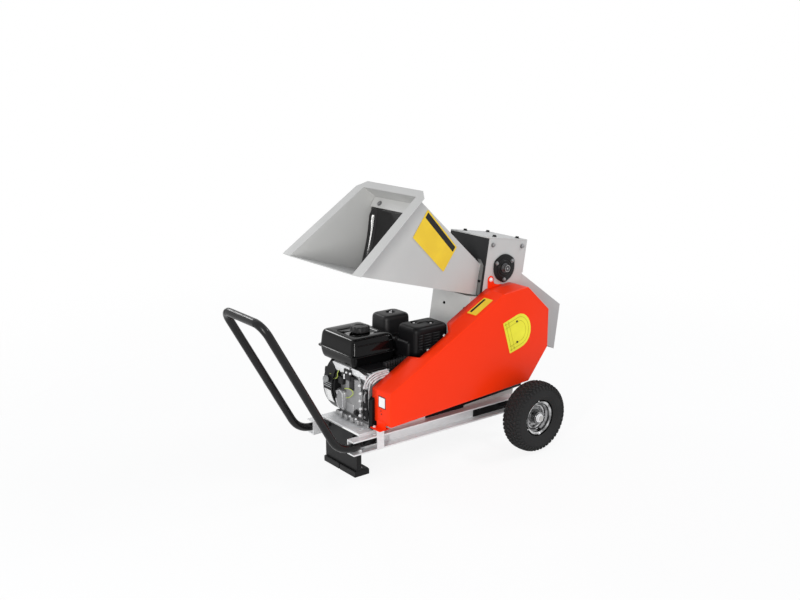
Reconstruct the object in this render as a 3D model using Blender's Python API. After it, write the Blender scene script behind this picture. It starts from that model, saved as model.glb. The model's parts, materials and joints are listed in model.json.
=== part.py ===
"""Petrol wood chipper on a two-wheeled frame.

Metres, +Z up. +X points to the wheels and the discharge, -X to the handle,
-Y is the side with the belt cover. Every place is worked out in a frame whose
origin lies on the ground under the axle; one parent empty then brings the
middle of the footprint to the world's origin.
"""
import math

import bmesh
import bpy
from mathutils import Matrix, Vector

for old in list(bpy.data.objects):
    bpy.data.objects.remove(old, do_unlink=True)

# Clearances
gap = 0.0003                # between pieces that rest on each other
running_gap = 0.0015        # beside a turning piece
merge = 0.000001            # doubles that the turned shapes leave on their axis

# Wheels and axle
wheel_radius = 0.130
tyre_half_width = 0.0425
tyre_wall = 0.007
bead_radius = 0.0565
rim_half_width = 0.031
rim_sheet = 0.002
wheel_side = 0.283
axle_radius = 0.010
axle_half_length = 0.3215
hub_radius = 0.023
hub_half_length = 0.027

# Frame
rail_front = -0.6973
rail_rear = 0.070
rail_bottom = 0.1017
rail_height = 0.051
rail_flange = 0.0377
rail_wall = 0.005
cross_wall = 0.004
cross_depth = 0.030
cross_height = 0.040
rear_cross_x = -0.300
plate_front = -0.656
plate_rear = -0.372
plate_half = 0.117
plate_sheet = 0.004
plate_rise = 0.012
leg_sheet = 0.003
leg_half = 0.0945
leg_return = 0.020
pad_height = 0.020
pad_length = 0.060
pad_half = 0.0948
pad_split = 0.005
pad_overhang = 0.008
slot_from_front = 0.048
slot_half = 0.014
slot_half_width = 0.004
bracket_front = 0.140
bracket_rear = 0.050
bracket_sheet = 0.004
spacer_wall = 0.004

# Handle
handle_reach = 1.018
handle_top = 0.606
handle_tube = 0.014
handle_half = 0.125
handle_bend = 0.045
handle_flat = 0.006
handle_end = -0.575
handle_level = 0.127
handle_knee = -0.7465
handle_knee_bend = 0.055

# Housing, tilted so that its top leans to the rear
housing_x = -0.0707
housing_z = 0.7637
housing_tilt = math.radians(9.1)
housing_half = 0.104
housing_sheet = 0.005
housing_width = 0.185
front_step = 0.053
front_sheet = 0.0045
belly_sheet = 0.003
foot_front = -0.190
foot_rear = 0.058

# Feed hopper and curtain
hopper_sheet = 0.002
throat_half = 0.080
throat_top = 0.0984
throat_bottom = 0.2080
throat_flange = 0.018
mouth_low = (-0.7253, 0.1854, 0.7372)
mouth_high = (-0.4417, 0.1479, 0.9518)
rim_side_low = 0.0474
rim_side_high = 0.0430
rim_top = 0.0300
curtain_top = (-0.395, 0.9135)
curtain_low = (-0.461, 0.6700)
strip_direction = (-0.579, -0.8153)
strip_margin = 0.011
strip_width = 0.039
strip_thickness = 0.004
curtain_thickness = 0.004
curtain_half = 0.1255
curtain_bow = 0.009
curtain_taper = 0.03

# Chipping drum, knives and feed roller
roller_u = 0.089
roller_v = 0.103
roller_radius = 0.042
roller_tooth = 0.010
roller_shaft = 0.0125
rotor_drop = 0.242
drum_radius = 0.108
knife_reach = 0.117
knife_thickness = 0.008
knife_depth = 0.046
rotor_side_gap = 0.0065
rotor_shaft_radius = 0.0175
bed_knife_v = 0.260
bed_knife_thickness = 0.014
pocket_corners = [(0.130, 0.055), (0.098, 0.050), (0.080, 0.030)]
flange_bearing_radius = 0.052
flange_bearing_sheet = 0.006
bearing_hub_radius = 0.026
bearing_hub_length = 0.020

# Discharge chute
chute_sheet = 0.003
chute_roof_v = 0.1225
chute_roof_end = (0.309, 0.462)
chute_tip = (0.2845, 0.287)
chute_mouth_rise = 0.523
chute_overlap = 0.025
chute_floor = 0.184

# Belt drive and cover
cover_face = 0.2054
cover_sheet = 0.002
cover_outline = [(-0.592, 0.197), (-0.592, 0.314), (-0.085, 0.581), (0.032, 0.590),
                 (0.139, 0.492), (0.139, 0.349), (0.046, 0.233)]
notch_front = -0.4345
notch_rear = -0.266
notch_side = 0.1545
notch_low = 0.34
notch_high = 0.52
upper_lug = (-0.0626, 0.6125)
upper_lug_root = 0.5805
lower_lug = (-0.105, 0.200)
lower_lug_root = 0.2265
lug_half = 0.0148
lug_margin = 0.0135
big_pulley_radius = 0.150
small_pulley_radius = 0.048
pulley_width = 0.036
pulley_side = 0.155
pulley_rim = 0.010
pulley_web = 0.004
pulley_hub = 0.012
belt_width = 0.013
belt_height = 0.009
belt_pitch = 0.017
strap_width = 0.029
strap_sheet = 0.003
strap_x = -0.602
strap_low = 0.106
strap_inner = -0.122
foot_plate_top = 0.183
foot_plate_front = -0.620
foot_plate_rear = -0.575
foot_plate_near = -0.182
foot_plate_far = -0.128
foot_plate_flap = 0.245

# Engine
crank_x = -0.515
crank_height = 0.106
crank_radius = 0.0095
case_near = -0.0953
case_far = 0.0800
case_flange = 0.012
case_top = 0.089
case_left = -0.605
case_right = -0.425
case_draw_left = 0.011
case_draw_right = 0.007
case_step = 0.004
case_seat_low = 0.052
case_seat_high = 0.050
case_ridge_right = 0.033
case_ridge_left = 0.045
case_nose = [(-0.077, 0.0667), (-0.086, 0.0287), (-0.086, -0.0313)]
cylinder_tilt = math.radians(25.0)
fin_half = 0.044
fin_side = 0.050
barrel_half = 0.036
barrel_side = 0.042
fin_pitch = 0.0095
block_start = 0.0763
head_end = 0.195
valve_cover_end = 0.228
fin_thickness = 0.0028
port_place = (-0.375, -0.038)
port_low = 0.350
port_radius = 0.011
valve_cover_half = 0.033
valve_cover_near = -0.032
valve_cover_far = 0.036
plug_side = -0.0445
plug_drop = -0.006
flywheel_radius = 0.079
fan_blade_reach = 0.078
fan_blade_root = 0.050
fan_blade_height = 0.030
fan_cover_radius = 0.118
fan_cover_depth = 0.0545
fan_cover_sheet = 0.002
recoil_radius = 0.083
recoil_depth = 0.037
tank_left = -0.626
tank_right = -0.431
tank_near = -0.044
tank_far = 0.188
tank_lip = 0.006
tank_lower = 0.0445
tank_upper = 0.060
tank_wall = 0.002
cap_radius = 0.036
cap_height = 0.019
cap_x = -0.529
cap_y = 0.055
neck_radius = 0.020
neck_rise = 0.004
cleaner_left = -0.4285
cleaner_right = -0.308
cleaner_near = 0.037
cleaner_far = 0.143
cleaner_bottom = 0.414
cleaner_top = 0.501
cleaner_base = 0.011
carb_left = -0.402
carb_right = -0.362
carb_low = 0.338
carb_high = 0.400
carb_y = 0.077
carb_far = 0.098
bowl_drop = 0.028
bowl_radius = 0.017
guard_left = -0.418
guard_right = -0.268
guard_near = -0.122
guard_far = -0.022
guard_bottom = 0.385
guard_top = 0.490
guard_sheet = 0.0015
guard_corner = 0.022
muffler_bottom = 0.4055
louvre_first = (0.037, 0.030)
louvre_step = (0.042, 0.0095)
louvre_size = (0.036, 0.0042)
switch_face = -0.6335
switch_y = 0.110
switch_z = 0.297
grip_y = 0.1580
grip_half = 0.034
pull_direction = (-0.94, 0, 0.34)
grip_direction = (0.34, 0, 0.94)
oil_cap_foot = (-0.6020, -0.042, 0.2050)
oil_cap_direction = (-0.92, 0, 0.39)
box_x = -0.6013
box_y = 0.010
box_z = 0.302
throttle_pivot = (-0.430, 0.330)
throttle_tip = (-0.405, 0.366)
choke_pivot = (0.078, 0.384)
choke_tip = (0.106, 0.396)

# Places that follow from the sizes above
axle_z = wheel_radius
rail_inner = housing_half + gap
rail_outer = rail_inner + rail_wall
rail_tip = rail_inner + rail_flange
rail_top = rail_bottom + rail_height
plate_top = rail_top + gap + plate_rise
engine_z = plate_top + gap
crank_z = engine_z + crank_height
housing_inner = housing_half - housing_sheet
cos_tilt = math.cos(housing_tilt)
sin_tilt = math.sin(housing_tilt)
pad_front = plate_front - 0.0046
leg_front = pad_front + pad_overhang
tank_bottom = crank_z + case_top + gap
tank_seam = tank_bottom + tank_lower
tank_top = tank_seam + tank_upper
cover_back = housing_half + gap
footprint_front = -handle_reach - handle_tube
footprint_rear = chute_roof_end[0]
carb_middle = (carb_left + carb_right) / 2
cleaner_y = (cleaner_near + cleaner_far) / 2
lever_y = case_far + fan_cover_depth + 2 * gap


def at(u, v):
    """World x and z of a housing point: u to the rear along the tilted top, v down."""
    return (housing_x + u * cos_tilt - v * sin_tilt,
            housing_z - u * sin_tilt - v * cos_tilt)


def on_cylinder(s, t):
    """World x and z of an engine point: s along the cylinder from the crank, t above it."""
    return (crank_x + s * math.cos(cylinder_tilt) - t * math.sin(cylinder_tilt),
            crank_z + s * math.sin(cylinder_tilt) + t * math.cos(cylinder_tilt))


roller_x, roller_z = at(roller_u, roller_v)
rotor_x, rotor_z = at(roller_u, roller_v + rotor_drop)
rotor_v = roller_v + rotor_drop
front_inner = -front_step + front_sheet
belly_radius = roller_u - front_inner - gap
shelf_top = throat_bottom + front_sheet
shelf_v = shelf_top + front_sheet + gap
box_bottom = rotor_v + belly_radius + 0.005

chipper = bpy.data.objects.new("chipper_frame", None)
chipper.location = (-(footprint_front + footprint_rear) / 2, 0, 0)
bpy.context.scene.collection.objects.link(chipper)


# Materials
def finish(name, colour, roughness, metallic=0.0):
    material = bpy.data.materials.new(name)
    material.use_nodes = True
    shader = material.node_tree.nodes["Principled BSDF"]
    shader.inputs["Base Color"].default_value = (*colour, 1)
    shader.inputs["Roughness"].default_value = roughness
    shader.inputs["Metallic"].default_value = metallic
    return material


grey_paint = finish("grey_paint", (0.60, 0.60, 0.59), 0.45)
red_paint = finish("red_paint", (0.90, 0.06, 0.01), 0.35)
black_paint = finish("black_paint", (0.015, 0.015, 0.016), 0.4)
zinc = finish("zinc_steel", (0.62, 0.62, 0.60), 0.35, 1.0)
steel = finish("bare_steel", (0.50, 0.50, 0.50), 0.35, 1.0)
tyre_rubber = finish("tyre_rubber", (0.02, 0.02, 0.02), 0.8)
black_rubber = finish("black_rubber", (0.015, 0.015, 0.015), 0.55)
chrome = finish("chrome", (0.75, 0.75, 0.75), 0.12, 1.0)
cast_aluminium = finish("cast_aluminium", (0.45, 0.46, 0.47), 0.5, 1.0)
black_plastic = finish("black_plastic", (0.02, 0.02, 0.02), 0.5)
gloss_black = finish("gloss_black", (0.01, 0.01, 0.01), 0.12)
grey_plastic = finish("grey_plastic", (0.35, 0.36, 0.36), 0.5)
wire_yellow = finish("wire_yellow", (0.55, 0.62, 0.08), 0.5)
cast_iron = finish("cast_iron", (0.10, 0.10, 0.10), 0.6, 1.0)


# Shapes
def add_box(bm, low, high):
    made = bmesh.ops.create_cube(bm, size=1.0)
    low = Vector(low)
    high = Vector(high)
    bmesh.ops.scale(bm, vec=high - low, verts=made["verts"])
    bmesh.ops.translate(bm, vec=(high + low) / 2, verts=made["verts"])


def add_rod(bm, start, end, radius, end_radius=None, sides=24):
    """A round rod or cone between two points."""
    start = Vector(start)
    end = Vector(end)
    turn = Vector((0, 0, 1)).rotation_difference(end - start).to_matrix().to_4x4()
    bmesh.ops.create_cone(bm, cap_ends=True, segments=sides, radius1=radius,
                          radius2=radius if end_radius is None else end_radius,
                          depth=(end - start).length,
                          matrix=Matrix.Translation((start + end) / 2) @ turn)


def add_prism(bm, outline, low, high, axis="Y"):
    """An outline extruded along an axis; it holds the other two coordinates in order."""
    order = {"X": lambda a, b, c: (c, a, b), "Y": lambda a, b, c: (a, c, b),
             "Z": lambda a, b, c: (a, b, c)}[axis]
    verts = [bm.verts.new(order(a, b, low)) for a, b in outline]
    face = bm.faces.new(verts)
    extruded = bmesh.ops.extrude_face_region(bm, geom=[face])
    moved = [item for item in extruded["geom"] if isinstance(item, bmesh.types.BMVert)]
    bmesh.ops.translate(bm, vec=Vector(order(0, 0, high - low)), verts=moved)
    bmesh.ops.recalc_face_normals(bm, faces=bm.faces)


def add_turned(bm, profile, centre=(0, 0, 0), axis="Y", steps=32):
    """A closed profile of (radius, height) spun round an axis through a centre."""
    axis_vector = {"X": Vector((1, 0, 0)), "Y": Vector((0, 1, 0)), "Z": Vector((0, 0, 1))}[axis]
    side = Vector((0, 0, 1)) if axis != "Z" else Vector((1, 0, 0))
    centre = Vector(centre)
    verts = [bm.verts.new(centre + side * r + axis_vector * h) for r, h in profile]
    edges = [bm.edges.new((verts[i - 1], verts[i])) for i in range(len(verts))]
    bmesh.ops.spin(bm, geom=verts + edges, cent=centre, axis=axis_vector, dvec=(0, 0, 0),
                   angle=math.tau, steps=steps, use_merge=True, use_duplicate=False)
    bmesh.ops.remove_doubles(bm, verts=bm.verts, dist=merge)
    loose = [edge for edge in bm.edges if not edge.link_faces]
    bmesh.ops.delete(bm, geom=loose, context="EDGES")
    bmesh.ops.recalc_face_normals(bm, faces=bm.faces)


def add_loft(bm, rings):
    """A closed body through rings of equally many points, capped at both ends."""
    rows = [[bm.verts.new(point) for point in ring] for ring in rings]
    count = len(rows[0])
    for lower, upper in zip(rows, rows[1:]):
        for i in range(count):
            j = (i + 1) % count
            bm.faces.new((lower[i], lower[j], upper[j], upper[i]))
    bm.faces.new(reversed(rows[0]))
    bm.faces.new(rows[-1])
    bmesh.ops.recalc_face_normals(bm, faces=bm.faces)


def rounded(left, right, near, far, corner, level, steps=3):
    """A level ring with rounded corners, as points in x, y and z."""
    points = []
    centres = [(right - corner, far - corner, 0), (left + corner, far - corner, 90),
               (left + corner, near + corner, 180), (right - corner, near + corner, 270)]
    for cx, cy, first in centres:
        for step in range(steps + 1):
            angle = math.radians(first + 90 * step / steps)
            points.append((cx + corner * math.cos(angle), cy + corner * math.sin(angle), level))
    return points


def add_tube(bm, path, radius, sides=10):
    """A round tube along a list of points."""
    path = [Vector(point) for point in path]
    rings = []
    normal = None
    for i, point in enumerate(path):
        ahead = (path[min(i + 1, len(path) - 1)] - path[max(i - 1, 0)]).normalized()
        if normal is None:
            normal = ahead.orthogonal().normalized()
        normal = (normal - ahead * normal.dot(ahead)).normalized()
        side = ahead.cross(normal)
        rings.append([point + normal * radius * math.cos(math.tau * k / sides)
                      + side * radius * math.sin(math.tau * k / sides) for k in range(sides)])
    add_loft(bm, rings)


def smooth_path(points, steps=4):
    """A Catmull-Rom curve through the points."""
    ends = [points[0]] + list(points) + [points[-1]]
    ends = [Vector(point) for point in ends]
    path = []
    for a, b, c, d in zip(ends, ends[1:], ends[2:], ends[3:]):
        for step in range(steps):
            t = step / steps
            path.append(0.5 * (2 * b + (c - a) * t + (2 * a - 5 * b + 4 * c - d) * t * t
                               + (3 * b - a - 3 * c + d) * t ** 3))
    path.append(ends[-1])
    return path


def sheet_outline(path, thickness):
    """The closed section of a folded sheet: a path and the same path set off to its left."""
    other = []
    for i, point in enumerate(path):
        here = Vector(point)
        before = (here - Vector(path[i - 1])).normalized() if i > 0 else None
        after = (Vector(path[i + 1]) - here).normalized() if i + 1 < len(path) else None
        before = before or after
        after = after or before
        left_before = Vector((-before.y, before.x))
        left_after = Vector((-after.y, after.x))
        middle = (left_before + left_after).normalized()
        other.append(tuple(here + middle * thickness / middle.dot(left_before)))
    return list(path) + other[::-1]


def inset_outline(outline, distance):
    """A closed outline moved inwards by a distance."""
    area = sum(a[0] * b[1] - b[0] * a[1] for a, b in zip(outline, outline[1:] + outline[:1]))
    side = 1 if area > 0 else -1
    moved = []
    for i, point in enumerate(outline):
        here = Vector(point)
        before = (here - Vector(outline[i - 1])).normalized()
        after = (Vector(outline[(i + 1) % len(outline)]) - here).normalized()
        left_before = Vector((-before.y, before.x)) * side
        left_after = Vector((-after.y, after.x)) * side
        middle = (left_before + left_after).normalized()
        moved.append(tuple(here + middle * distance / middle.dot(left_before)))
    return moved


def slab(u_low, u_high, v_low, v_high):
    """World outline of a box that lies in the tilted housing."""
    return [at(u_low, v_low), at(u_high, v_low), at(u_high, v_high), at(u_low, v_high)]


# Objects
def place(name, bm, material, origin=(0, 0, 0), smooth=30):
    """Makes a named object of a shape given in the axle's frame, its origin where stated."""
    bmesh.ops.translate(bm, vec=-Vector(origin), verts=bm.verts)
    mesh = bpy.data.meshes.new(name)
    bm.to_mesh(mesh)
    bm.free()
    mesh.materials.append(material)
    mesh.shade_smooth()
    mesh.set_sharp_from_angle(angle=math.radians(smooth))
    obj = bpy.data.objects.new(name, mesh)
    bpy.context.scene.collection.objects.link(obj)
    obj.parent = chipper
    obj.location = origin
    return obj


def combine(obj, bm, operation="DIFFERENCE"):
    """Cuts a shape, given in the axle's frame, out of an object, or joins it on."""
    bmesh.ops.translate(bm, vec=-obj.location, verts=bm.verts)
    mesh = bpy.data.meshes.new(obj.name + "_guide")
    bm.to_mesh(mesh)
    bm.free()
    guide = bpy.data.objects.new(mesh.name, mesh)
    bpy.context.scene.collection.objects.link(guide)
    guide.parent = chipper
    guide.location = obj.location
    guide.hide_render = True
    guide.display_type = "WIRE"
    modifier = obj.modifiers.new("shape", "BOOLEAN")
    modifier.operation = operation
    modifier.object = guide
    modifier.solver = "EXACT"


# Wheels
def superellipse(centre, half_r, half_h, power, angle):
    c = math.cos(angle)
    s = math.sin(angle)
    return (centre + half_r * math.copysign(abs(c) ** (2 / power), c),
            half_h * math.copysign(abs(s) ** (2 / power), s))


def make_tyre(name, side):
    """A bulging section whose beads sit on the rim between its lips."""
    middle = (wheel_radius + bead_radius) / 2
    half = (wheel_radius - bead_radius) / 2
    reach = math.radians(137)
    outer = [superellipse(middle, half, tyre_half_width, 2.7, reach * (i / 4 - 1)) for i in range(9)]
    inner = [superellipse(middle, half - tyre_wall, tyre_half_width - tyre_wall, 2.7,
                          reach * (1 - i)) for i in range(3)]
    seat = bead_radius - 0.0025 + gap
    bead = [(bead_radius + 0.005, rim_half_width - 0.0026), (seat + 0.0005, rim_half_width - 0.003),
            (seat + 0.0002, 0.018)]
    bm = bmesh.new()
    add_turned(bm, outer + bead + inner + [(r, -h) for r, h in bead[::-1]], steps=24)
    bmesh.ops.translate(bm, vec=(0, side * wheel_side, axle_z), verts=bm.verts)
    place(name, bm, tyre_rubber, (0, side * wheel_side, axle_z))


def make_rim(name, side):
    """Two pressed halves and the hub tube, welded into one."""
    seat = bead_radius - 0.0025
    well = seat - 0.008
    half_web = rim_sheet
    outer = [(bead_radius + 0.006, rim_half_width), (seat + 0.0005, rim_half_width - 0.002),
             (seat, 0.016), (well, 0.010)]
    inner = [(bead_radius + 0.006 - rim_sheet, rim_half_width - 0.0002),
             (seat - rim_sheet, rim_half_width - 0.004), (well - rim_sheet, 0.0115),
             (well - rim_sheet, half_web), (hub_radius, half_web),
             (hub_radius, hub_half_length), (axle_radius + gap, hub_half_length)]
    near = [(r, -h) for r, h in outer] + outer[::-1]
    far = inner + [(r, -h) for r, h in inner[::-1]]
    bm = bmesh.new()
    add_turned(bm, near + far, steps=24)
    bmesh.ops.translate(bm, vec=(0, side * wheel_side, axle_z), verts=bm.verts)
    place(name, bm, chrome, (0, side * wheel_side, axle_z))


def make_axle():
    bm = bmesh.new()
    add_rod(bm, (0, -axle_half_length, axle_z), (0, axle_half_length, axle_z), axle_radius)
    place("axle", bm, steel, (0, 0, axle_z))


make_tyre("tyre_near", -1)
make_tyre("tyre_far", 1)
make_rim("rim_near", -1)
make_rim("rim_far", 1)
make_axle()


# Frame
def make_rail(name, side):
    section = [(side * rail_inner, rail_bottom), (side * rail_tip, rail_bottom),
               (side * rail_tip, rail_bottom + rail_wall), (side * rail_outer, rail_bottom + rail_wall),
               (side * rail_outer, rail_top - rail_wall), (side * rail_tip, rail_top - rail_wall),
               (side * rail_tip, rail_top), (side * rail_inner, rail_top)]
    bm = bmesh.new()
    add_prism(bm, section, rail_front, rail_rear, "X")
    rail = place(name, bm, zinc, (rail_front, side * rail_inner, rail_bottom))
    cut = bmesh.new()
    add_rod(cut, (0, side * (rail_inner - 0.01), axle_z), (0, side * (rail_tip + 0.01), axle_z),
            axle_radius + gap)
    combine(rail, cut)
    slot = bmesh.new()
    middle_y = side * (rail_outer + rail_tip) / 2
    slot_x = plate_front + slot_from_front
    straight = slot_half - slot_half_width
    add_prism(slot, [(slot_x + dx, middle_y + dy * slot_half_width) for dx, dy in
                     ((-straight, -1), (straight, -1), (slot_half, 0), (straight, 1), (-straight, 1),
                      (-slot_half, 0))], rail_top - 2 * rail_wall, rail_top + 0.01, "Z")
    combine(rail, slot)


def make_cross_member():
    low = rail_bottom + 0.004
    reach = rail_inner - gap
    path = [(rear_cross_x + cross_depth, low), (rear_cross_x, low), (rear_cross_x, low + cross_height),
            (rear_cross_x + cross_depth, low + cross_height)]
    bm = bmesh.new()
    add_prism(bm, sheet_outline(path[::-1], cross_wall), -reach, reach)
    place("cross_member", bm, black_paint, (rear_cross_x, 0, low))


def make_engine_plate():
    low = rail_top + gap
    path = [(-plate_half, low), (-plate_half, plate_top), (plate_half, plate_top), (plate_half, low)]
    bm = bmesh.new()
    add_prism(bm, sheet_outline(path[::-1], plate_sheet), plate_front, plate_rear, "X")
    plate = place("engine_plate", bm, zinc, (crank_x, 0, plate_top))
    cut = bmesh.new()
    for y in (-0.086, 0.086):
        add_box(cut, (plate_front + 0.018, y - 0.005, low),
                (plate_front + 0.038, y + 0.005, plate_top + 0.01))
    combine(plate, cut)


def make_front_leg():
    """Folded plate between the rails: wide at the top, with side webs and a base flange."""
    top = rail_top - 0.001
    low = pad_height + gap
    base_rear = pad_front + pad_length - 0.004
    wide = rail_inner - gap
    neck = rail_bottom - 0.002
    bm = bmesh.new()
    add_prism(bm, [(-leg_half, low), (leg_half, low), (leg_half, neck - 0.008), (wide, neck), (wide, top),
                   (-wide, top), (-wide, neck), (-leg_half, neck - 0.008)],
              leg_front, leg_front + leg_sheet, "X")
    leg = place("front_leg", bm, black_paint, (leg_front, 0, low))
    base = bmesh.new()
    add_box(base, (leg_front + 0.001, -leg_half + 0.001, low), (base_rear, leg_half - 0.001, low + leg_sheet))
    combine(leg, base, "UNION")
    shelf = bmesh.new()
    add_box(shelf, (leg_front + 0.001, -wide, rail_bottom + 0.004),
            (leg_front + cross_depth, wide, rail_bottom + 0.004 + leg_sheet))
    combine(leg, shelf, "UNION")
    for side in (-1, 1):
        web = bmesh.new()
        outer = side * (leg_half - gap)
        inner = side * (leg_half - leg_sheet)
        web_front = leg_front + 0.001
        web_rear = leg_front + leg_return
        web_top = rail_bottom - 0.004
        add_prism(web, [(web_front, low + 0.001), (web_rear, low + 0.001), (web_rear, web_top),
                        (web_front, web_top)], min(outer, inner), max(outer, inner))
        combine(leg, web, "UNION")


def make_foot_pad(name, side):
    bm = bmesh.new()
    ends = sorted((side * pad_split / 2, side * pad_half))
    edge = 0.002
    outline = [(pad_front, 0), (pad_front + pad_length, 0), (pad_front + pad_length, pad_height - edge),
               (pad_front + pad_length - edge, pad_height), (pad_front + edge, pad_height),
               (pad_front, pad_height - edge)]
    add_prism(bm, outline, ends[0], ends[1])
    place(name, bm, black_rubber, (pad_front + pad_length / 2, 0, 0))


def make_axle_bracket(name, side):
    """Plate inside a rail that carries the axle, with its spacer tube to the wheel."""
    low = rail_bottom + rail_wall + gap
    high = rail_top - rail_wall - gap
    face = side * (rail_outer + gap)
    ends = sorted((face, face + side * bracket_sheet))
    bm = bmesh.new()
    add_prism(bm, [(-bracket_front, low), (bracket_rear, low), (bracket_rear, high), (-bracket_front, high)],
              ends[0], ends[1])
    bracket = place(name, bm, black_paint, (0, face, axle_z))
    tube = bmesh.new()
    add_rod(tube, (0, face + side * 0.001, axle_z),
            (0, side * (wheel_side - hub_half_length - gap), axle_z), axle_radius + spacer_wall)
    combine(bracket, tube, "UNION")
    cut = bmesh.new()
    add_rod(cut, (0, side * rail_inner, axle_z), (0, side * wheel_side, axle_z), axle_radius + gap)
    combine(bracket, cut)


def handle_path():
    """Centre line of the tube on one side, from the middle of the crossbar to the rail."""
    web_side = rail_outer + gap
    flat_y = web_side + handle_flat
    round_y = handle_half
    top = Vector((-handle_reach, handle_top))
    knee = Vector((handle_knee, handle_level))
    down = (knee - top).normalized()
    points = [(-handle_reach, y, handle_top) for y in (0.0, round_y - handle_bend)]
    for step in range(1, 5):
        angle = math.radians(90 * step / 4)
        y = round_y - handle_bend + handle_bend * math.sin(angle)
        along = handle_bend * (1 - math.cos(angle))
        points.append((top.x + down.x * along, y, top.y + down.y * along))
    start = knee - down * handle_knee_bend
    end = knee + Vector((1, 0)) * handle_knee_bend
    points.append((start.x - down.x * 0.06, round_y, start.y - down.y * 0.06))
    for step in range(6):
        t = step / 5
        curve = start * (1 - t) ** 2 + knee * 2 * t * (1 - t) + end * t ** 2
        points.append((curve.x, round_y, curve.y))
    points.append((rail_front + 0.045, flat_y, handle_level))
    points.append((handle_end, flat_y, handle_level))
    return points


def make_handle():
    """One bent tube whose ends are pressed flat where they lie against the rails."""
    path = [Vector(point) for point in handle_path()]
    across = Vector((0, 1, 0))
    leg = Vector((handle_knee + handle_reach, 0, handle_level - handle_top)).normalized()
    sides = 10
    rings = []
    for i, point in enumerate(path):
        ahead = (path[min(i + 1, len(path) - 1)] - path[max(i - 1, 0)]).normalized()
        if i == 0:
            ahead = across
        if i > len(path) - 3:
            ahead = Vector((1, 0, 0))
        in_plane = Vector((ahead.x, 0, ahead.z))
        if in_plane.length < 0.05:
            in_plane = leg
        normal = in_plane.normalized().cross(across)
        side = normal.cross(ahead).normalized()
        flat = i > len(path) - 3
        wide = handle_flat if flat else handle_tube
        tall = handle_tube + 0.005 if flat else handle_tube
        turns = [math.tau * (k + 0.5) / sides for k in range(sides)]
        rings.append([point + side * wide * math.cos(turn) + normal * tall * math.sin(turn)
                      for turn in turns])
    mirrored = [[Vector((p.x, -p.y, p.z)) for p in ring] for ring in rings[:0:-1]]
    bm = bmesh.new()
    add_loft(bm, mirrored + rings)
    place("handle", bm, black_paint, (-handle_reach, 0, handle_top), smooth=50)


make_rail("rail_near", -1)
make_rail("rail_far", 1)
make_cross_member()
make_engine_plate()
make_front_leg()
make_foot_pad("foot_pad_near", -1)
make_foot_pad("foot_pad_far", 1)
make_axle_bracket("axle_bracket_near", -1)
make_axle_bracket("axle_bracket_far", 1)
make_handle()


# Housing of the chipping chamber
def make_side_plate(name, side):
    foot_z = rail_bottom + 0.010
    front_u = -front_step + front_sheet + gap
    rear_u = roller_u + belly_radius
    outline = [at(0, 0), at(housing_width, 0), at(housing_width, 0.180), at(rear_u, shelf_v),
               at(rear_u, box_bottom), (foot_rear, foot_z), (foot_front, foot_z),
               at(front_u, box_bottom), at(front_u, shelf_v), at(0, shelf_v)]
    bm = bmesh.new()
    ends = sorted((side * housing_inner, side * housing_half))
    add_prism(bm, outline, ends[0], ends[1])
    plate = place(name, bm, grey_paint, (housing_x, side * housing_half, housing_z))
    cut = bmesh.new()
    for x, z, radius, sides in ((roller_x, roller_z, roller_shaft + 0.0035, 16),
                                (rotor_x, rotor_z, rotor_shaft_radius + 0.0045, 16),
                                (0, axle_z, axle_radius + gap, 24)):
        add_rod(cut, (x, side * (housing_inner - 0.01), z), (x, side * (housing_half + 0.01), z), radius,
                sides=sides)
    combine(plate, cut)


def make_housing_sheets():
    inner = housing_inner - gap
    bm = bmesh.new()
    rear_face = housing_width + gap + front_sheet
    high_v = -gap - front_sheet
    low_v = chute_roof_v - 0.0035
    outline = [at(u, v) for u, v in ((-gap - front_sheet, high_v), (rear_face, high_v), (rear_face, low_v),
                                     (housing_width + gap, low_v), (housing_width + gap, -gap),
                                     (-gap - front_sheet, -gap))]
    add_prism(bm, outline, -housing_half, housing_half)
    place("top_plate", bm, grey_paint, (housing_x, 0, housing_z))

    bm = bmesh.new()
    add_prism(bm, slab(-gap - front_sheet, -gap, 0, shelf_top - gap), -housing_half, housing_half)
    plate = place("upper_front_plate", bm, black_paint, (housing_x, 0, housing_z))
    cut = bmesh.new()
    add_prism(cut, slab(-0.02, 0.02, throat_top, throat_bottom), -throat_half, throat_half)
    combine(plate, cut)

    front = -front_step
    outline = [at(u, v) for u, v in ((-gap, shelf_top), (front, shelf_top), (front, box_bottom),
                                     (front + front_sheet, box_bottom),
                                     (front + front_sheet, shelf_top + front_sheet),
                                     (-gap, shelf_top + front_sheet))]
    bm = bmesh.new()
    add_prism(bm, outline, -housing_half, housing_half)
    place("lower_front_plate", bm, grey_paint, (housing_x, 0, housing_z))

    steps = 18
    outer = [at(roller_u + belly_radius * math.cos(math.pi * i / steps),
                rotor_v + belly_radius * math.sin(math.pi * i / steps)) for i in range(steps + 1)]
    low_radius = belly_radius - belly_sheet
    within = [at(roller_u + low_radius * math.cos(math.pi * i / steps),
                 rotor_v + low_radius * math.sin(math.pi * i / steps)) for i in range(steps + 1)]
    lip_v = bed_knife_v + bed_knife_thickness / 2 + gap
    lip = [at(roller_u - belly_radius, lip_v), at(roller_u - low_radius, lip_v)]
    bm = bmesh.new()
    add_prism(bm, outer + lip + within[::-1], -inner, inner)
    place("belly", bm, grey_paint, (rotor_x, 0, rotor_z))


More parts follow.
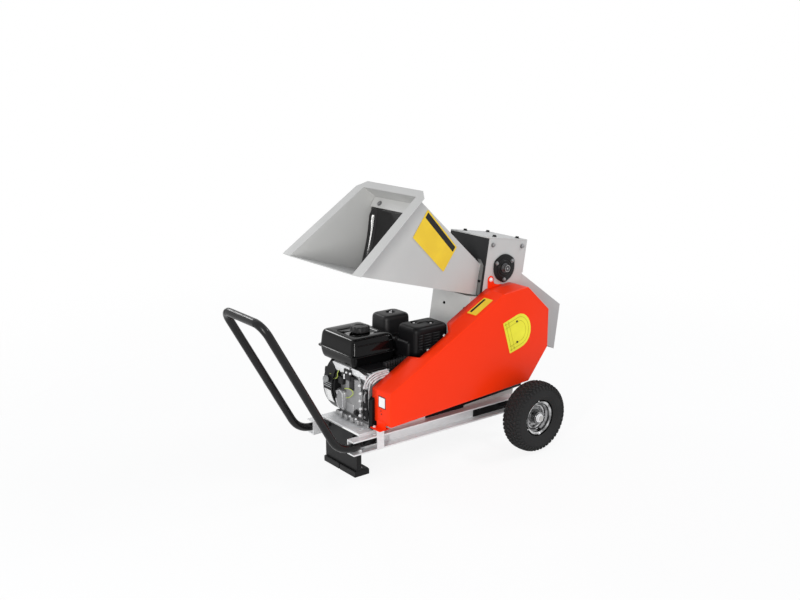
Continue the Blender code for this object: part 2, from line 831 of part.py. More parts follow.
def make_bed_knife():
    """The fixed bar below the throat; its tip follows the knives' circle."""
    reach = knife_reach + running_gap + 0.001
    top_v = bed_knife_v - bed_knife_thickness / 2
    low_v = bed_knife_v + bed_knife_thickness / 2
    front = -front_step + front_sheet + gap
    tip = [(roller_u - math.sqrt(reach ** 2 - (rotor_v - v) ** 2), v) for v in (top_v, low_v)]
    outline = [at(u, v) for u, v in [(front, shelf_v), (-0.006, shelf_v)] + tip + [(front, low_v)]]
    bm = bmesh.new()
    add_prism(bm, outline, -housing_inner + gap, housing_inner - gap)
    place("bed_knife", bm, steel, (*at(tip[0][0], top_v)[:1], 0, at(tip[0][0], top_v)[1]))


make_side_plate("side_plate_near", -1)
make_side_plate("side_plate_far", 1)
make_housing_sheets()
make_bed_knife()


# Feed hopper
def make_hopper():
    """Funnel of sheet with a rim turned outwards at the sides and the top of its mouth."""
    face_u = -gap * 2 - front_sheet
    throat_x_low, throat_z_low = at(face_u, throat_bottom)
    throat_x_high, throat_z_high = at(face_u, throat_top)
    flange_x, flange_z = at(face_u, throat_top - throat_flange)
    plane = Vector((mouth_high[0] - mouth_low[0], mouth_high[2] - mouth_low[2])).normalized()
    rim_x = mouth_high[0] + plane.x * rim_top
    rim_z = mouth_high[2] + plane.y * rim_top
    bm = bmesh.new()
    corner = {}
    for side in (-1, 1):
        corner["throat_low", side] = bm.verts.new((throat_x_low, side * throat_half, throat_z_low))
        corner["throat_high", side] = bm.verts.new((throat_x_high, side * throat_half, throat_z_high))
        corner["flange_low", side] = bm.verts.new((throat_x_low, side * (throat_half + throat_flange),
                                                   throat_z_low))
        corner["flange_side", side] = bm.verts.new((throat_x_high, side * (throat_half + throat_flange),
                                                    throat_z_high))
        corner["flange_high", side] = bm.verts.new((flange_x, side * throat_half, flange_z))
        corner["mouth_low", side] = bm.verts.new((mouth_low[0], side * mouth_low[1], mouth_low[2]))
        corner["mouth_high", side] = bm.verts.new((mouth_high[0], side * mouth_high[1], mouth_high[2]))
        corner["rim_low", side] = bm.verts.new((mouth_low[0], side * (mouth_low[1] + rim_side_low),
                                                mouth_low[2]))
        corner["rim_side", side] = bm.verts.new((mouth_high[0], side * (mouth_high[1] + rim_side_high),
                                                 mouth_high[2]))
        corner["rim_high", side] = bm.verts.new((rim_x, side * (mouth_high[1] + 0.0066), rim_z))
    for names in (("throat_low", "throat_high", "mouth_high", "mouth_low"),
                  ("mouth_low", "mouth_high", "rim_side", "rim_low"),
                  ("mouth_high", "rim_high", "rim_side"),
                  ("throat_low", "flange_low", "flange_side", "throat_high"),
                  ("throat_high", "flange_side", "flange_high")):
        for side in (-1, 1):
            bm.faces.new([corner[name, side] for name in names][::side])
    for low, high in (("throat_high", "mouth_high"), ("mouth_low", "throat_low"),
                      ("mouth_high", "rim_high"), ("flange_high", "throat_high")):
        bm.faces.new((corner[low, -1], corner[low, 1], corner[high, 1], corner[high, -1]))
    bmesh.ops.recalc_face_normals(bm, faces=bm.faces)
    inside = Vector((-0.4, 0, 0.75))
    bm.faces.ensure_lookup_table()
    first = bm.faces[0]
    if first.normal.dot(inside - first.calc_center_median()) < 0:
        bmesh.ops.reverse_faces(bm, faces=bm.faces)
    hopper = place("hopper", bm, grey_paint, (throat_x_low, 0, throat_z_low), smooth=15)
    skin = hopper.modifiers.new("sheet", "SOLIDIFY")
    skin.thickness = hopper_sheet
    skin.offset = -1
    skin.use_even_offset = True


def make_curtain():
    """Rubber flap that hangs from a round bead under a clamping strip across the hopper."""
    high = Vector(curtain_top)
    low = high + Vector(strip_direction) * strip_width
    face = Vector((low.y - high.y, high.x - low.x)).normalized() * strip_thickness
    bm = bmesh.new()
    add_prism(bm, [tuple(high), tuple(low), tuple(low + face), tuple(high + face)],
              -curtain_half - strip_margin, curtain_half + strip_margin)
    place("curtain_strip", bm, grey_paint, (high.x, 0, high.y))
    half = curtain_thickness / 2
    hinge = low + face / 2 + (low - high).normalized() * (gap + half)
    end = Vector(curtain_low)
    count = 6
    line = []
    for i in range(count + 1):
        t = i / count
        point = hinge.lerp(end, t)
        line.append(point + Vector((curtain_bow * math.sin(math.pi * t), 0)))
    aheads = [(line[min(i + 1, count)] - line[max(i - 1, 0)]).normalized() for i in range(count + 1)]
    lefts = [Vector((-ahead.y, ahead.x)) * half for ahead in aheads]
    bead = [hinge + lefts[0] * math.cos(math.radians(turn)) - aheads[0] * half * math.sin(math.radians(turn))
            for turn in (45, 90, 135)]
    outline = ([point - left for point, left in zip(line[::-1], lefts[::-1])] + bead[::-1]
               + [point + left for point, left in zip(line, lefts)])
    bm = bmesh.new()
    add_prism(bm, [tuple(point) for point in outline], -curtain_half, curtain_half)
    for vert in bm.verts:
        depth = (hinge.y - vert.co.z) / (hinge.y - end.y)
        vert.co.y *= 1 - curtain_taper * depth
    place("curtain", bm, black_rubber, (hinge.x, 0, hinge.y))


make_hopper()
make_curtain()


# Feed roller, drum and knives
def make_feed_roller():
    teeth = 8
    outline = []
    for i in range(teeth):
        middle = math.tau * i / teeth
        for turn, radius in ((-0.12, roller_radius), (-0.09, roller_radius + roller_tooth),
                             (0.05, roller_radius + roller_tooth), (0.10, roller_radius),
                             (0.39, roller_radius)):
            outline.append((roller_x + radius * math.cos(middle + turn),
                            roller_z + radius * math.sin(middle + turn)))
    bm = bmesh.new()
    half = housing_inner - 0.009
    add_prism(bm, outline, -half, half)
    roller = place("feed_roller", bm, steel, (roller_x, 0, roller_z))
    shaft = bmesh.new()
    end = housing_half + bearing_hub_length + 0.002
    add_rod(shaft, (roller_x, -end, roller_z), (roller_x, end, roller_z), roller_shaft, sides=20)
    combine(roller, shaft, "UNION")


def rotor_point(angle, along, ahead):
    """World x and z of a point in the drum: along a spoke and ahead of it."""
    return (rotor_x + along * math.cos(angle) - ahead * math.sin(angle),
            rotor_z + along * math.sin(angle) + ahead * math.cos(angle))


def make_rotor():
    half = housing_inner - rotor_side_gap
    near_end = -pulley_side - pulley_width / 2 - 0.012
    far_end = housing_half + bearing_hub_length + 0.004
    bm = bmesh.new()
    profile = [(0, near_end), (rotor_shaft_radius, near_end), (rotor_shaft_radius, -half),
               (drum_radius, -half), (drum_radius, half), (rotor_shaft_radius, half),
               (rotor_shaft_radius, far_end), (0, far_end)]
    add_turned(bm, profile, (rotor_x, 0, rotor_z), steps=20)
    rotor = place("drum", bm, steel, (rotor_x, 0, rotor_z))
    knife_foot = knife_reach - knife_depth
    pocket_half = half - 0.0045
    for name, start in (("knife_one", math.radians(60)), ("knife_two", math.radians(240))):
        cut = bmesh.new()
        back = -knife_thickness - gap
        outline = [rotor_point(start, r, t) for r, t in
                   [(knife_foot - gap, back), (pocket_corners[0][0], back), *pocket_corners,
                    (knife_foot - gap, 0.0)]]
        add_prism(cut, outline, -pocket_half, pocket_half)
        combine(rotor, cut)
        blade = [rotor_point(start, r, t) for r, t in
                 ((knife_foot, -knife_thickness), (knife_reach - 0.007, -knife_thickness),
                  (knife_reach, -0.0005), (knife_reach - 0.0005, 0), (knife_foot, 0))]
        knife = bmesh.new()
        add_prism(knife, blade, -pocket_half + gap, pocket_half - gap)
        place(name, knife, steel, (rotor_x, 0, rotor_z))


def make_flange_bearing(name, side, x, z, shaft):
    """Pressed flange bearing on the outside of a side plate."""
    face = housing_half + gap
    bore = shaft + gap
    profile = [(bore, face), (flange_bearing_radius, face),
               (flange_bearing_radius, face + flange_bearing_sheet * 0.6),
               (bearing_hub_radius + 0.010, face + flange_bearing_sheet),
               (bearing_hub_radius - 0.001, face + bearing_hub_length),
               (bore, face + bearing_hub_length)]
    bm = bmesh.new()
    add_turned(bm, [(r, side * h) for r, h in profile], (x, 0, z), steps=20)
    place(name, bm, black_paint, (x, side * face, z))


# Belt drive
def make_pulley(name, x, z, radius, shaft, with_web):
    """Pulley with two vee grooves; a large one has a thin web between its rim and hub."""
    half = pulley_width / 2
    groove = belt_height + 0.003
    edge = [(radius, -half)]
    for middle in (-belt_pitch / 2, belt_pitch / 2):
        for dy, depth in ((-0.5, 0), (-0.32, groove), (0.32, groove), (0.5, 0)):
            edge.append((radius - depth, middle + dy * (belt_width + 0.0008)))
    edge.append((radius, half))
    bore = shaft + gap
    within = [(bore, half), (bore, -half)]
    if with_web:
        rim = radius - groove - pulley_rim
        hub = shaft + pulley_hub
        within = [(rim, half), (rim, pulley_web), (hub, pulley_web), (hub, half), *within,
                  (hub, -half), (hub, -pulley_web), (rim, -pulley_web), (rim, -half)]
    bm = bmesh.new()
    add_turned(bm, edge + within, (x, -pulley_side, z), steps=20)
    place(name, bm, cast_iron, (x, -pulley_side, z))


def make_drive_belt():
    """Belt of two vee ribs under one band, a closed loop round both pulleys."""
    bm = bmesh.new()
    span = Vector((rotor_x - crank_x, rotor_z - crank_z))
    heading = math.atan2(span.y, span.x)
    lean = math.asin((big_pulley_radius - small_pulley_radius) / span.length)
    sit = 0.0015

    def loop(offset):
        points = []
        leave = math.pi / 2 + lean
        for cx, cz, radius, first, last, steps in (
                (rotor_x, rotor_z, big_pulley_radius, heading - leave, heading + leave, 16),
                (crank_x, crank_z, small_pulley_radius, heading + leave, heading + math.tau - leave, 10)):
            for i in range(steps + 1):
                angle = first + (last - first) * i / steps
                reach = (radius + offset) / (math.cos((last - first) / steps / 2) if offset < 0 else 1)
                points.append((cx + reach * math.cos(angle), cz + reach * math.sin(angle)))
        return points

    band = 0.002
    levels = {"top": loop(sit + band), "root": loop(sit), "inner": loop(sit - belt_height)}
    half = belt_pitch / 2 + belt_width / 2
    valley = belt_pitch / 2 - belt_width / 2
    flank = 0.0022
    section = [("top", -half), ("top", half), ("root", half), ("inner", half - flank),
               ("inner", valley + flank), ("root", valley), ("root", -valley), ("inner", -valley - flank),
               ("inner", -half + flank), ("root", -half)]
    rows = [[bm.verts.new((x, -pulley_side + dy, z)) for x, z in levels[level]] for level, dy in section]
    for a, b in zip(rows, rows[1:] + rows[:1]):
        for i in range(len(a)):
            j = (i + 1) % len(a)
            bm.faces.new((a[i], a[j], b[j], b[i]))
    bmesh.ops.recalc_face_normals(bm, faces=bm.faces)
    place("drive_belt", bm, black_rubber, (rotor_x, -pulley_side, rotor_z))


def make_belt_cover():
    """Pan over the belts, open toward the housing, notched for the muffler guard."""
    bm = bmesh.new()
    add_prism(bm, cover_outline, -cover_face, -cover_back)
    cover = place("belt_cover", bm, red_paint, (upper_lug[0], -cover_back, upper_lug[1]))
    cut = bmesh.new()
    add_prism(cut, inset_outline(cover_outline, cover_sheet), -cover_face + cover_sheet, -cover_back + 0.01)
    combine(cover, cut)
    notch = bmesh.new()
    add_box(notch, (notch_front, -notch_side, notch_low), (notch_rear, -cover_back + 0.01, notch_high))
    combine(cover, notch)
    lugs = bmesh.new()
    for (x, z), root in ((upper_lug, upper_lug_root), (lower_lug, lower_lug_root)):
        low, high = sorted((root, z + math.copysign(lug_margin, z - root)))
        add_box(lugs, (x - lug_half, -cover_back - cover_sheet, low), (x + lug_half, -cover_back, high))
    combine(cover, lugs, "UNION")


def make_cover_supports():
    face = cover_outline[0][0] - gap
    top = foot_plate_top
    upper = top + cover_sheet
    bm = bmesh.new()
    outline = [(foot_plate_front, top), (foot_plate_rear, top), (foot_plate_rear, upper), (face, upper),
               (face, foot_plate_flap), (face - cover_sheet, foot_plate_flap), (face - cover_sheet, upper),
               (foot_plate_front, upper)]
    add_prism(bm, outline, foot_plate_near, foot_plate_far)
    place("cover_foot", bm, red_paint, (face, (foot_plate_near + foot_plate_far) / 2, top))
    bm = bmesh.new()
    outside = -rail_tip - gap
    tab = top - gap
    outline = [(outside - strap_sheet, strap_low), (outside, strap_low), (outside, tab - strap_sheet),
               (strap_inner, tab - strap_sheet), (strap_inner, tab), (outside - strap_sheet, tab)]
    add_prism(bm, outline, strap_x, strap_x + strap_width, "X")
    place("cover_strap", bm, zinc, (strap_x, outside, tab))


make_feed_roller()
make_rotor()
for side, word in ((-1, "near"), (1, "far")):
    make_flange_bearing("roller_bearing_" + word, side, roller_x, roller_z, roller_shaft)
    make_flange_bearing("rotor_bearing_" + word, side, rotor_x, rotor_z, rotor_shaft_radius)
make_pulley("rotor_pulley", rotor_x, rotor_z, big_pulley_radius, rotor_shaft_radius, True)
make_pulley("clutch_pulley", crank_x, crank_z, small_pulley_radius, crank_radius, False)
make_drive_belt()
make_belt_cover()
make_cover_supports()


# Discharge chute
def make_chute():
    start = Vector(at(housing_width + gap + front_sheet, chute_roof_v))
    roof_end = Vector(chute_roof_end)
    tip = Vector(chute_tip)
    along = (roof_end - start).normalized()
    back = start - along * chute_overlap
    rear_u = roller_u + belly_radius
    inner_low = Vector(at(rear_u - 0.020, rotor_v - 0.010))
    slope = Vector((-1, chute_mouth_rise)).normalized()
    outline = [tuple(back), tuple(roof_end), tuple(tip), tuple(tip + slope * chute_floor), tuple(inner_low)]
    half = housing_inner - gap
    bm = bmesh.new()
    add_prism(bm, outline, -half, half)
    chute = place("chute", bm, grey_paint, (start.x, 0, start.y))
    roof_normal = Vector((-along.y, along.x)) * -1
    rear = (tip - roof_end).normalized()
    rear_normal = Vector((-rear.y, rear.x)) * -1
    inner_corner = roof_end + (roof_normal + rear_normal) * chute_sheet / (1 + roof_normal.dot(rear_normal))
    cavity = [tuple(inner_corner), tuple(inner_corner + rear * 0.4), (-0.1, 0.0),
              tuple(inner_corner - along * 0.6)]
    cut = bmesh.new()
    add_prism(cut, cavity, -half + chute_sheet, half - chute_sheet)
    combine(chute, cut)


make_chute()


# Engine
def make_crankcase():
    low = engine_z
    flange = low + case_flange
    outline = [(case_left, low), (case_right, low), (case_right, flange),
               (case_right - case_draw_right, flange + case_step),
               on_cylinder(block_start - gap, -case_seat_low), on_cylinder(block_start - gap, case_seat_high),
               (crank_x + case_ridge_right, crank_z + case_top),
               (crank_x - case_ridge_left, crank_z + case_top),
               *[(crank_x + dx, crank_z + dz) for dx, dz in case_nose],
               (case_left + case_draw_left, flange + case_step), (case_left, flange)]
    bm = bmesh.new()
    add_prism(bm, outline, case_near, case_far)
    case = place("crankcase", bm, cast_aluminium, (crank_x, 0, engine_z))
    cut = bmesh.new()
    add_rod(cut, (crank_x, case_near - 0.01, crank_z), (crank_x, case_far + 0.01, crank_z),
            crank_radius + gap)
    combine(case, cut)
    edge = case.modifiers.new("edges", "BEVEL")
    edge.width = 0.002
    edge.segments = 1
    edge.limit_method = "ANGLE"
    edge.angle_limit = math.radians(55)


def make_crankshaft():
    """Crankshaft with the flywheel on its far end, a disc with a ring of fan blades."""
    bm = bmesh.new()
    add_rod(bm, (crank_x, -pulley_side - pulley_width / 2 - 0.006, crank_z),
            (crank_x, case_far + fan_cover_depth - 0.012, crank_z), crank_radius, sides=20)
    shaft = place("crankshaft", bm, steel, (crank_x, 0, crank_z))
    low = case_far + 0.006
    blades = 8
    outline = []
    for i in range(blades):
        middle = math.tau * i / blades
        for turn, radius in ((-0.39, fan_blade_root - 0.004), (-0.045, fan_blade_root),
                             (-0.032, fan_blade_reach), (0.032, fan_blade_reach), (0.045, fan_blade_root)):
            outline.append((crank_x + radius * math.cos(middle + turn),
                            crank_z + radius * math.sin(middle + turn)))
    fan = bmesh.new()
    add_prism(fan, outline, low, low + fan_blade_height)
    combine(shaft, fan, "UNION")
    disc = bmesh.new()
    add_rod(disc, (crank_x, low - 0.001, crank_z), (crank_x, low + 0.007, crank_z), flywheel_radius)
    combine(shaft, disc, "UNION")


def tilted_box(bm, s_low, s_high, t_low, t_high, y_low, y_high):
    add_prism(bm, [on_cylinder(s_low, t_low), on_cylinder(s_high, t_low), on_cylinder(s_high, t_high),
                   on_cylinder(s_low, t_high)], y_low, y_high)


def make_cylinder():
    """Inclined cylinder and head with plate fins all round."""
    bm = bmesh.new()
    tilted_box(bm, block_start, head_end, -barrel_half, barrel_half, -barrel_side, barrel_side)
    cylinder = place("cylinder", bm, cast_aluminium, (crank_x, 0, crank_z))
    fins = bmesh.new()
    start = block_start + 0.006
    while start + fin_thickness < head_end - 0.008:
        tilted_box(fins, start, start + fin_thickness, -fin_half, fin_half, -fin_side, fin_side)
        start += fin_pitch
    combine(cylinder, fins, "UNION")
    port = bmesh.new()
    add_rod(port, (*port_place, port_low), (*port_place, muffler_bottom - gap), port_radius, sides=16)
    combine(cylinder, port, "UNION")


def make_valve_cover():
    bm = bmesh.new()
    tilted_box(bm, head_end + gap, valve_cover_end, -valve_cover_half, valve_cover_half,
               valve_cover_near, valve_cover_far)
    seat_x, seat_z = on_cylinder(head_end, 0)
    cover = place("valve_cover", bm, black_paint, (seat_x, 0, seat_z))
    edge = cover.modifiers.new("edges", "BEVEL")
    edge.width = 0.008
    edge.segments = 2


def make_spark_plug_cap():
    bm = bmesh.new()
    foot = on_cylinder(head_end + gap, plug_drop)
    bend = on_cylinder(head_end + 0.030, plug_drop)
    add_rod(bm, (foot[0], plug_side, foot[1]), (bend[0], plug_side, bend[1]), 0.0085, sides=14)
    cap = place("spark_plug_cap", bm, black_rubber, (foot[0], plug_side, foot[1]))
    arm = bmesh.new()
    add_rod(arm, (bend[0] - 0.004, plug_side + 0.0085, bend[1]),
            (bend[0] - 0.004, plug_side - 0.0235, bend[1]), 0.0075, sides=12)
    combine(cap, arm, "UNION")


def make_carburettor():
    bm = bmesh.new()
    add_box(bm, (carb_left, fin_side + gap, carb_low), (carb_right, carb_far, carb_high))
    carburettor = place("carburettor", bm, cast_aluminium, (carb_middle, carb_y, carb_low))
    bowl = bmesh.new()
    add_rod(bowl, (carb_middle, carb_y, carb_low - bowl_drop), (carb_middle, carb_y, carb_low + 0.005),
            bowl_radius, sides=20)
    combine(carburettor, bowl, "UNION")


def make_lever(name, pivot, axis, tip, width, thickness, material):
    """A flat lever with a round boss on its pivot."""
    pivot = Vector(pivot)
    axis = Vector(axis)
    tip = Vector(tip)
    along = (tip - pivot).normalized()
    across = axis.cross(along).normalized()
    rows = []
    for step in (0, 1):
        lift = axis * thickness * step
        rows.append([pivot + lift - along * width - across * width * 0.5,
                     pivot + lift - across * width, tip + lift - across * width * 0.7,
                     tip + lift + across * width * 0.7, pivot + lift + across * width,
                     pivot + lift - along * width + across * width * 0.5])
    bm = bmesh.new()
    add_loft(bm, rows)
    place(name, bm, material, tuple(pivot))


def make_air_cleaner():
    bm = bmesh.new()
    rings = [rounded(cleaner_left, cleaner_right, cleaner_near, cleaner_far, 0.019, z)
             for z in (cleaner_bottom, cleaner_bottom + cleaner_base)]
    add_loft(bm, rings)
    base = place("air_cleaner_base", bm, black_plastic, (carb_middle, carb_y, cleaner_bottom))
    elbow = bmesh.new()
    add_rod(elbow, (carb_middle, carb_y, carb_high + gap),
            (carb_middle, carb_y, cleaner_bottom + 0.004), bowl_radius, sides=20)
    combine(base, elbow, "UNION")
    low = cleaner_bottom + cleaner_base + gap
    bm = bmesh.new()
    rings = []
    for z, inset in ((low, 0.0), (cleaner_top - 0.012, 0.002), (cleaner_top - 0.003, 0.006),
                     (cleaner_top, 0.014)):
        rings.append(rounded(cleaner_left + inset, cleaner_right - inset, cleaner_near + inset,
                             cleaner_far - inset, 0.021 - inset * 0.3, z))
    add_loft(bm, rings)
    cover = place("air_cleaner_cover", bm, black_plastic, (carb_middle, carb_y, low), smooth=50)
    cut = bmesh.new()
    middle_x = (cleaner_left + cleaner_right) / 2
    add_turned(cut, [(0.005, 0.02), (0.005, -0.009), (0.016, -0.009), (0.016, 0.02)],
               (middle_x, cleaner_y, cleaner_top), "Z", 20)
    combine(cover, cut)


def clipped_circle(radius, low, top, steps=24):
    """A circle round the crankshaft, cut flat below one height and above another."""
    high_turn = math.asin((top - crank_z) / radius)
    low_turn = math.asin((crank_z - low) / radius)
    points = []
    for first, last in ((-low_turn, high_turn), (math.pi - high_turn, math.pi + low_turn)):
        for i in range(steps // 2 + 1):
            angle = first + (last - first) * i / (steps // 2)
            points.append((crank_x + radius * math.cos(angle), crank_z + radius * math.sin(angle)))
    return points


def make_fan_cover():
    low = case_far + gap
    high = low + fan_cover_depth
    top = tank_bottom - 0.003
    foot = engine_z + 0.002
    sheet = fan_cover_sheet
    bm = bmesh.new()
    add_prism(bm, clipped_circle(fan_cover_radius, foot, top), low, high)
    cover = place("fan_cover", bm, black_paint, (crank_x, low, crank_z))
    cut = bmesh.new()
    add_prism(cut, clipped_circle(fan_cover_radius - sheet, foot + sheet, top - sheet),
              low - 0.01, high - sheet)
    combine(cover, cut)
    eye = bmesh.new()
    add_rod(eye, (crank_x, high - 0.01, crank_z), (crank_x, high + 0.01, crank_z), 0.072)
    combine(cover, eye)
    boss = bmesh.new()
    add_rod(boss, (switch_face + 0.010, switch_y, switch_z), (switch_face, switch_y, switch_z), 0.012,
            sides=20)
    combine(cover, boss, "UNION")


def make_recoil_cover():
    """Starter cover with air slots in its face and round its side."""
    face = case_far + gap + fan_cover_depth + gap
    profile = [(0, recoil_depth), (recoil_radius - 0.014, recoil_depth - 0.003),
               (recoil_radius - 0.004, recoil_depth - 0.012), (recoil_radius, 0), (recoil_radius - 0.002, 0),
               (recoil_radius - 0.006, recoil_depth - 0.013), (recoil_radius - 0.0155, recoil_depth - 0.0052),
               (0, recoil_depth - 0.002)]
    bm = bmesh.new()
    add_turned(bm, profile, (crank_x, face, crank_z), steps=24)
    cover = place("recoil_cover", bm, black_paint, (crank_x, face, crank_z))
    slots = bmesh.new()
    for i in range(6):
        angle = math.tau * (i + 0.5) / 6
        side = Vector((-math.sin(angle), 0, math.cos(angle))) * 0.005
        inner = Vector((crank_x + 0.036 * math.cos(angle), 0, crank_z + 0.036 * math.sin(angle)))
        outer = Vector((crank_x + 0.062 * math.cos(angle), 0, crank_z + 0.062 * math.sin(angle)))
        ring = [inner - side, outer - side * 1.5, outer + side * 1.5, inner + side]
        add_loft(slots, [[p + Vector((0, y, 0)) for p in ring]
                         for y in (face + 0.02, face + recoil_depth + 0.01)])
    combine(cover, slots)
    pull = Vector(pull_direction).normalized()
    centre = Vector((crank_x, grip_y, crank_z))
    guide = bmesh.new()
    add_rod(guide, centre + pull * (recoil_radius - 0.009),
            centre + pull * (recoil_radius + 0.0015 - gap), 0.009, sides=14)
    combine(cover, guide, "UNION")


def make_recoil_grip():
    pull = Vector(pull_direction).normalized()
    bar = Vector(grip_direction).normalized()
    centre = Vector((crank_x, grip_y, crank_z)) + pull * (recoil_radius + 0.018)
    bm = bmesh.new()
    add_rod(bm, centre - bar * grip_half, centre + bar * grip_half, 0.0085, sides=14)
    grip = place("recoil_grip", bm, black_plastic, tuple(centre), smooth=50)
    stem = bmesh.new()
    add_rod(stem, centre - pull * 0.0165, centre, 0.0055, sides=12)
    combine(grip, stem, "UNION")


def make_engine_switch():
    bm = bmesh.new()
    start = Vector((switch_face - gap, switch_y, switch_z))
    add_rod(bm, start, start + Vector((-0.008, 0, 0)), 0.0075, sides=20)
    knob = place("engine_switch", bm, grey_plastic, tuple(start))
    bar = bmesh.new()
    add_box(bar, start + Vector((-0.013, -0.002, -0.0068)), start + Vector((-0.007, 0.002, 0.0068)))
    combine(knob, bar, "UNION")


def make_tank():
    """Hollow tank of two pressed halves with a lip at the seam and a panel sunk in its top."""
    def ring(inset, level, corner=0.030, steps=3):
        return rounded(tank_left + inset, tank_right - inset, tank_near + inset, tank_far - inset,
                       max(corner - inset * 0.5, 0.006), level, steps)
    lip = tank_lip
    outer = [ring(lip + 0.014, tank_bottom, 0.026), ring(lip + 0.004, tank_bottom + 0.005),
             ring(lip + 0.001, tank_bottom + 0.014), ring(lip, tank_seam - 0.003),
             ring(0, tank_seam - 0.002), ring(0, tank_seam + 0.001), ring(lip, tank_seam + 0.002),
             ring(lip + 0.004, tank_top - 0.022), ring(lip + 0.007, tank_top - 0.009),
             ring(lip + 0.014, tank_top), ring(lip + 0.022, tank_top), ring(lip + 0.025, tank_top - 0.003)]
    wall = tank_wall
    inner = [ring(lip + 0.014 + wall, tank_bottom + wall, 0.028, 2)]
    inner += [ring(lip + inset, level, 0.033, 2) for inset, level in
              ((0.006, tank_bottom + 0.010), (wall, tank_seam), (wall + 0.006, tank_top - 0.018),
               (0.028, tank_top - 0.003 - wall))]
    bm = bmesh.new()
    add_loft(bm, outer)
    tank = place("fuel_tank", bm, gloss_black, (cap_x, cap_y, tank_bottom), smooth=60)
    neck = bmesh.new()
    add_rod(neck, (cap_x, cap_y, tank_top - 0.004), (cap_x, cap_y, tank_top + neck_rise), neck_radius)
    combine(tank, neck, "UNION")
    cut = bmesh.new()
    add_loft(cut, inner)
    combine(tank, cut)
    mouth = bmesh.new()
    add_rod(mouth, (cap_x, cap_y, tank_top - 0.008), (cap_x, cap_y, tank_top + 0.01), neck_radius - wall)
    combine(tank, mouth)


def make_fuel_cap():
    seat = tank_top + gap
    inside = neck_radius + 0.0012
    profile = [(0, neck_rise), (inside, neck_rise), (inside, 0), (cap_radius, 0),
               (cap_radius, cap_height - 0.003), (cap_radius - 0.003, cap_height), (0, cap_height)]
    bm = bmesh.new()
    add_turned(bm, profile, (cap_x, cap_y, seat), "Z", 24)
    place("fuel_cap", bm, black_plastic, (cap_x, cap_y, seat))


def make_muffler():
    bm = bmesh.new()
    left = guard_left + 0.010
    right = guard_right - 0.010
    near = guard_near + 0.010
    far = guard_far - 0.008
    rings = [rounded(left + inset, right - inset, near + inset, far - inset, 0.014, z, 2)
             for z, inset in ((muffler_bottom, 0.006), (muffler_bottom + 0.007, 0), (guard_top - 0.016, 0),
                              (guard_top - 0.010, 0.006))]
    add_loft(bm, rings)
    middle_y = (near + far) / 2
    muffler = place("muffler", bm, black_paint, ((left + right) / 2, middle_y, muffler_bottom))
    for x in (left + 0.030, right - 0.030):
        post = bmesh.new()
        add_rod(post, (x, middle_y, guard_top - 0.014), (x, middle_y, guard_top - guard_sheet - gap), 0.008,
                sides=12)
        combine(muffler, post, "UNION")


def make_muffler_guard():
    """Pressed guard, open below and toward the cylinder, with louvres in its near wall."""
    def ring(inset, level, corner):
        return rounded(guard_left + inset, guard_right - inset, guard_near + inset, guard_far + 0.030,
                       corner, level)
    bm = bmesh.new()
    corner = guard_corner
    rings = [ring(0, guard_bottom, corner), ring(0.001, guard_top - 0.014, corner),
             ring(0.004, guard_top - 0.004, corner - 0.001), ring(0.011, guard_top, corner - 0.003)]
    add_loft(bm, rings)
    guard = place("muffler_guard", bm, black_paint,
                  ((guard_left + guard_right) / 2, guard_near, guard_bottom), smooth=50)
    sheet = guard_sheet
    cut = bmesh.new()
    corner -= sheet
    hollow = [ring(sheet, guard_bottom - 0.01, corner), ring(0.001 + sheet, guard_top - 0.0145, corner),
              ring(0.004 + sheet, guard_top - 0.0048, corner - 0.001),
              ring(0.011 + sheet, guard_top - sheet, corner - 0.003)]
    add_loft(cut, hollow)
    combine(guard, cut)
    back = bmesh.new()
    add_box(back, (guard_left - 0.01, guard_far, guard_bottom - 0.02),
            (guard_right + 0.01, guard_far + 0.06, guard_top + 0.01))
    combine(guard, back)
    slots = bmesh.new()
    for row in range(6):
        z = guard_bottom + louvre_first[1] + row * louvre_step[1]
        for column in range(2):
            x = guard_left + louvre_first[0] + column * louvre_step[0]
            add_box(slots, (x, guard_near - 0.01, z),
                    (x + louvre_size[0], guard_near + 0.006, z + louvre_size[1]))
    combine(guard, slots)


def make_oil_filler_cap():
    foot = Vector(oil_cap_foot)
    direction = Vector(oil_cap_direction).normalized()
    bm = bmesh.new()
    start = foot + direction * 0.0020
    add_rod(bm, start, start + direction * 0.013, 0.0125, 0.0115, sides=18)
    cap = place("oil_filler_cap", bm, black_plastic, tuple(start))
    grip = bmesh.new()
    end = start + direction * 0.0125
    add_rod(grip, end, end + direction * 0.008, 0.007, sides=6)
    combine(cap, grip, "UNION")


def make_alert_unit():
    """Small box on the crankcase with its two short wires."""
    middle = box_x - 0.008
    bm = bmesh.new()
    add_box(bm, (box_x - 0.014, box_y - 0.010, box_z - 0.012), (box_x, box_y + 0.010, box_z + 0.012))
    unit = place("alert_unit", bm, wire_yellow, (box_x, box_y, box_z))
    for offsets in ([(0, 0.005, 0.002), (0, 0.024, 0.004), (-0.004, 0.050, 0.006), (-0.008, 0.085, 0.003)],
                    [(0, -0.002, -0.006), (0, -0.004, -0.020), (0.001, -0.020, -0.034),
                     (0.0058, -0.036, -0.039)]):
        path = [(middle + dx, box_y + dy, box_z + dz) for dx, dy, dz in offsets]
        wire = bmesh.new()
        add_tube(wire, smooth_path(path, 2), 0.0017, 6)
        combine(unit, wire, "UNION")


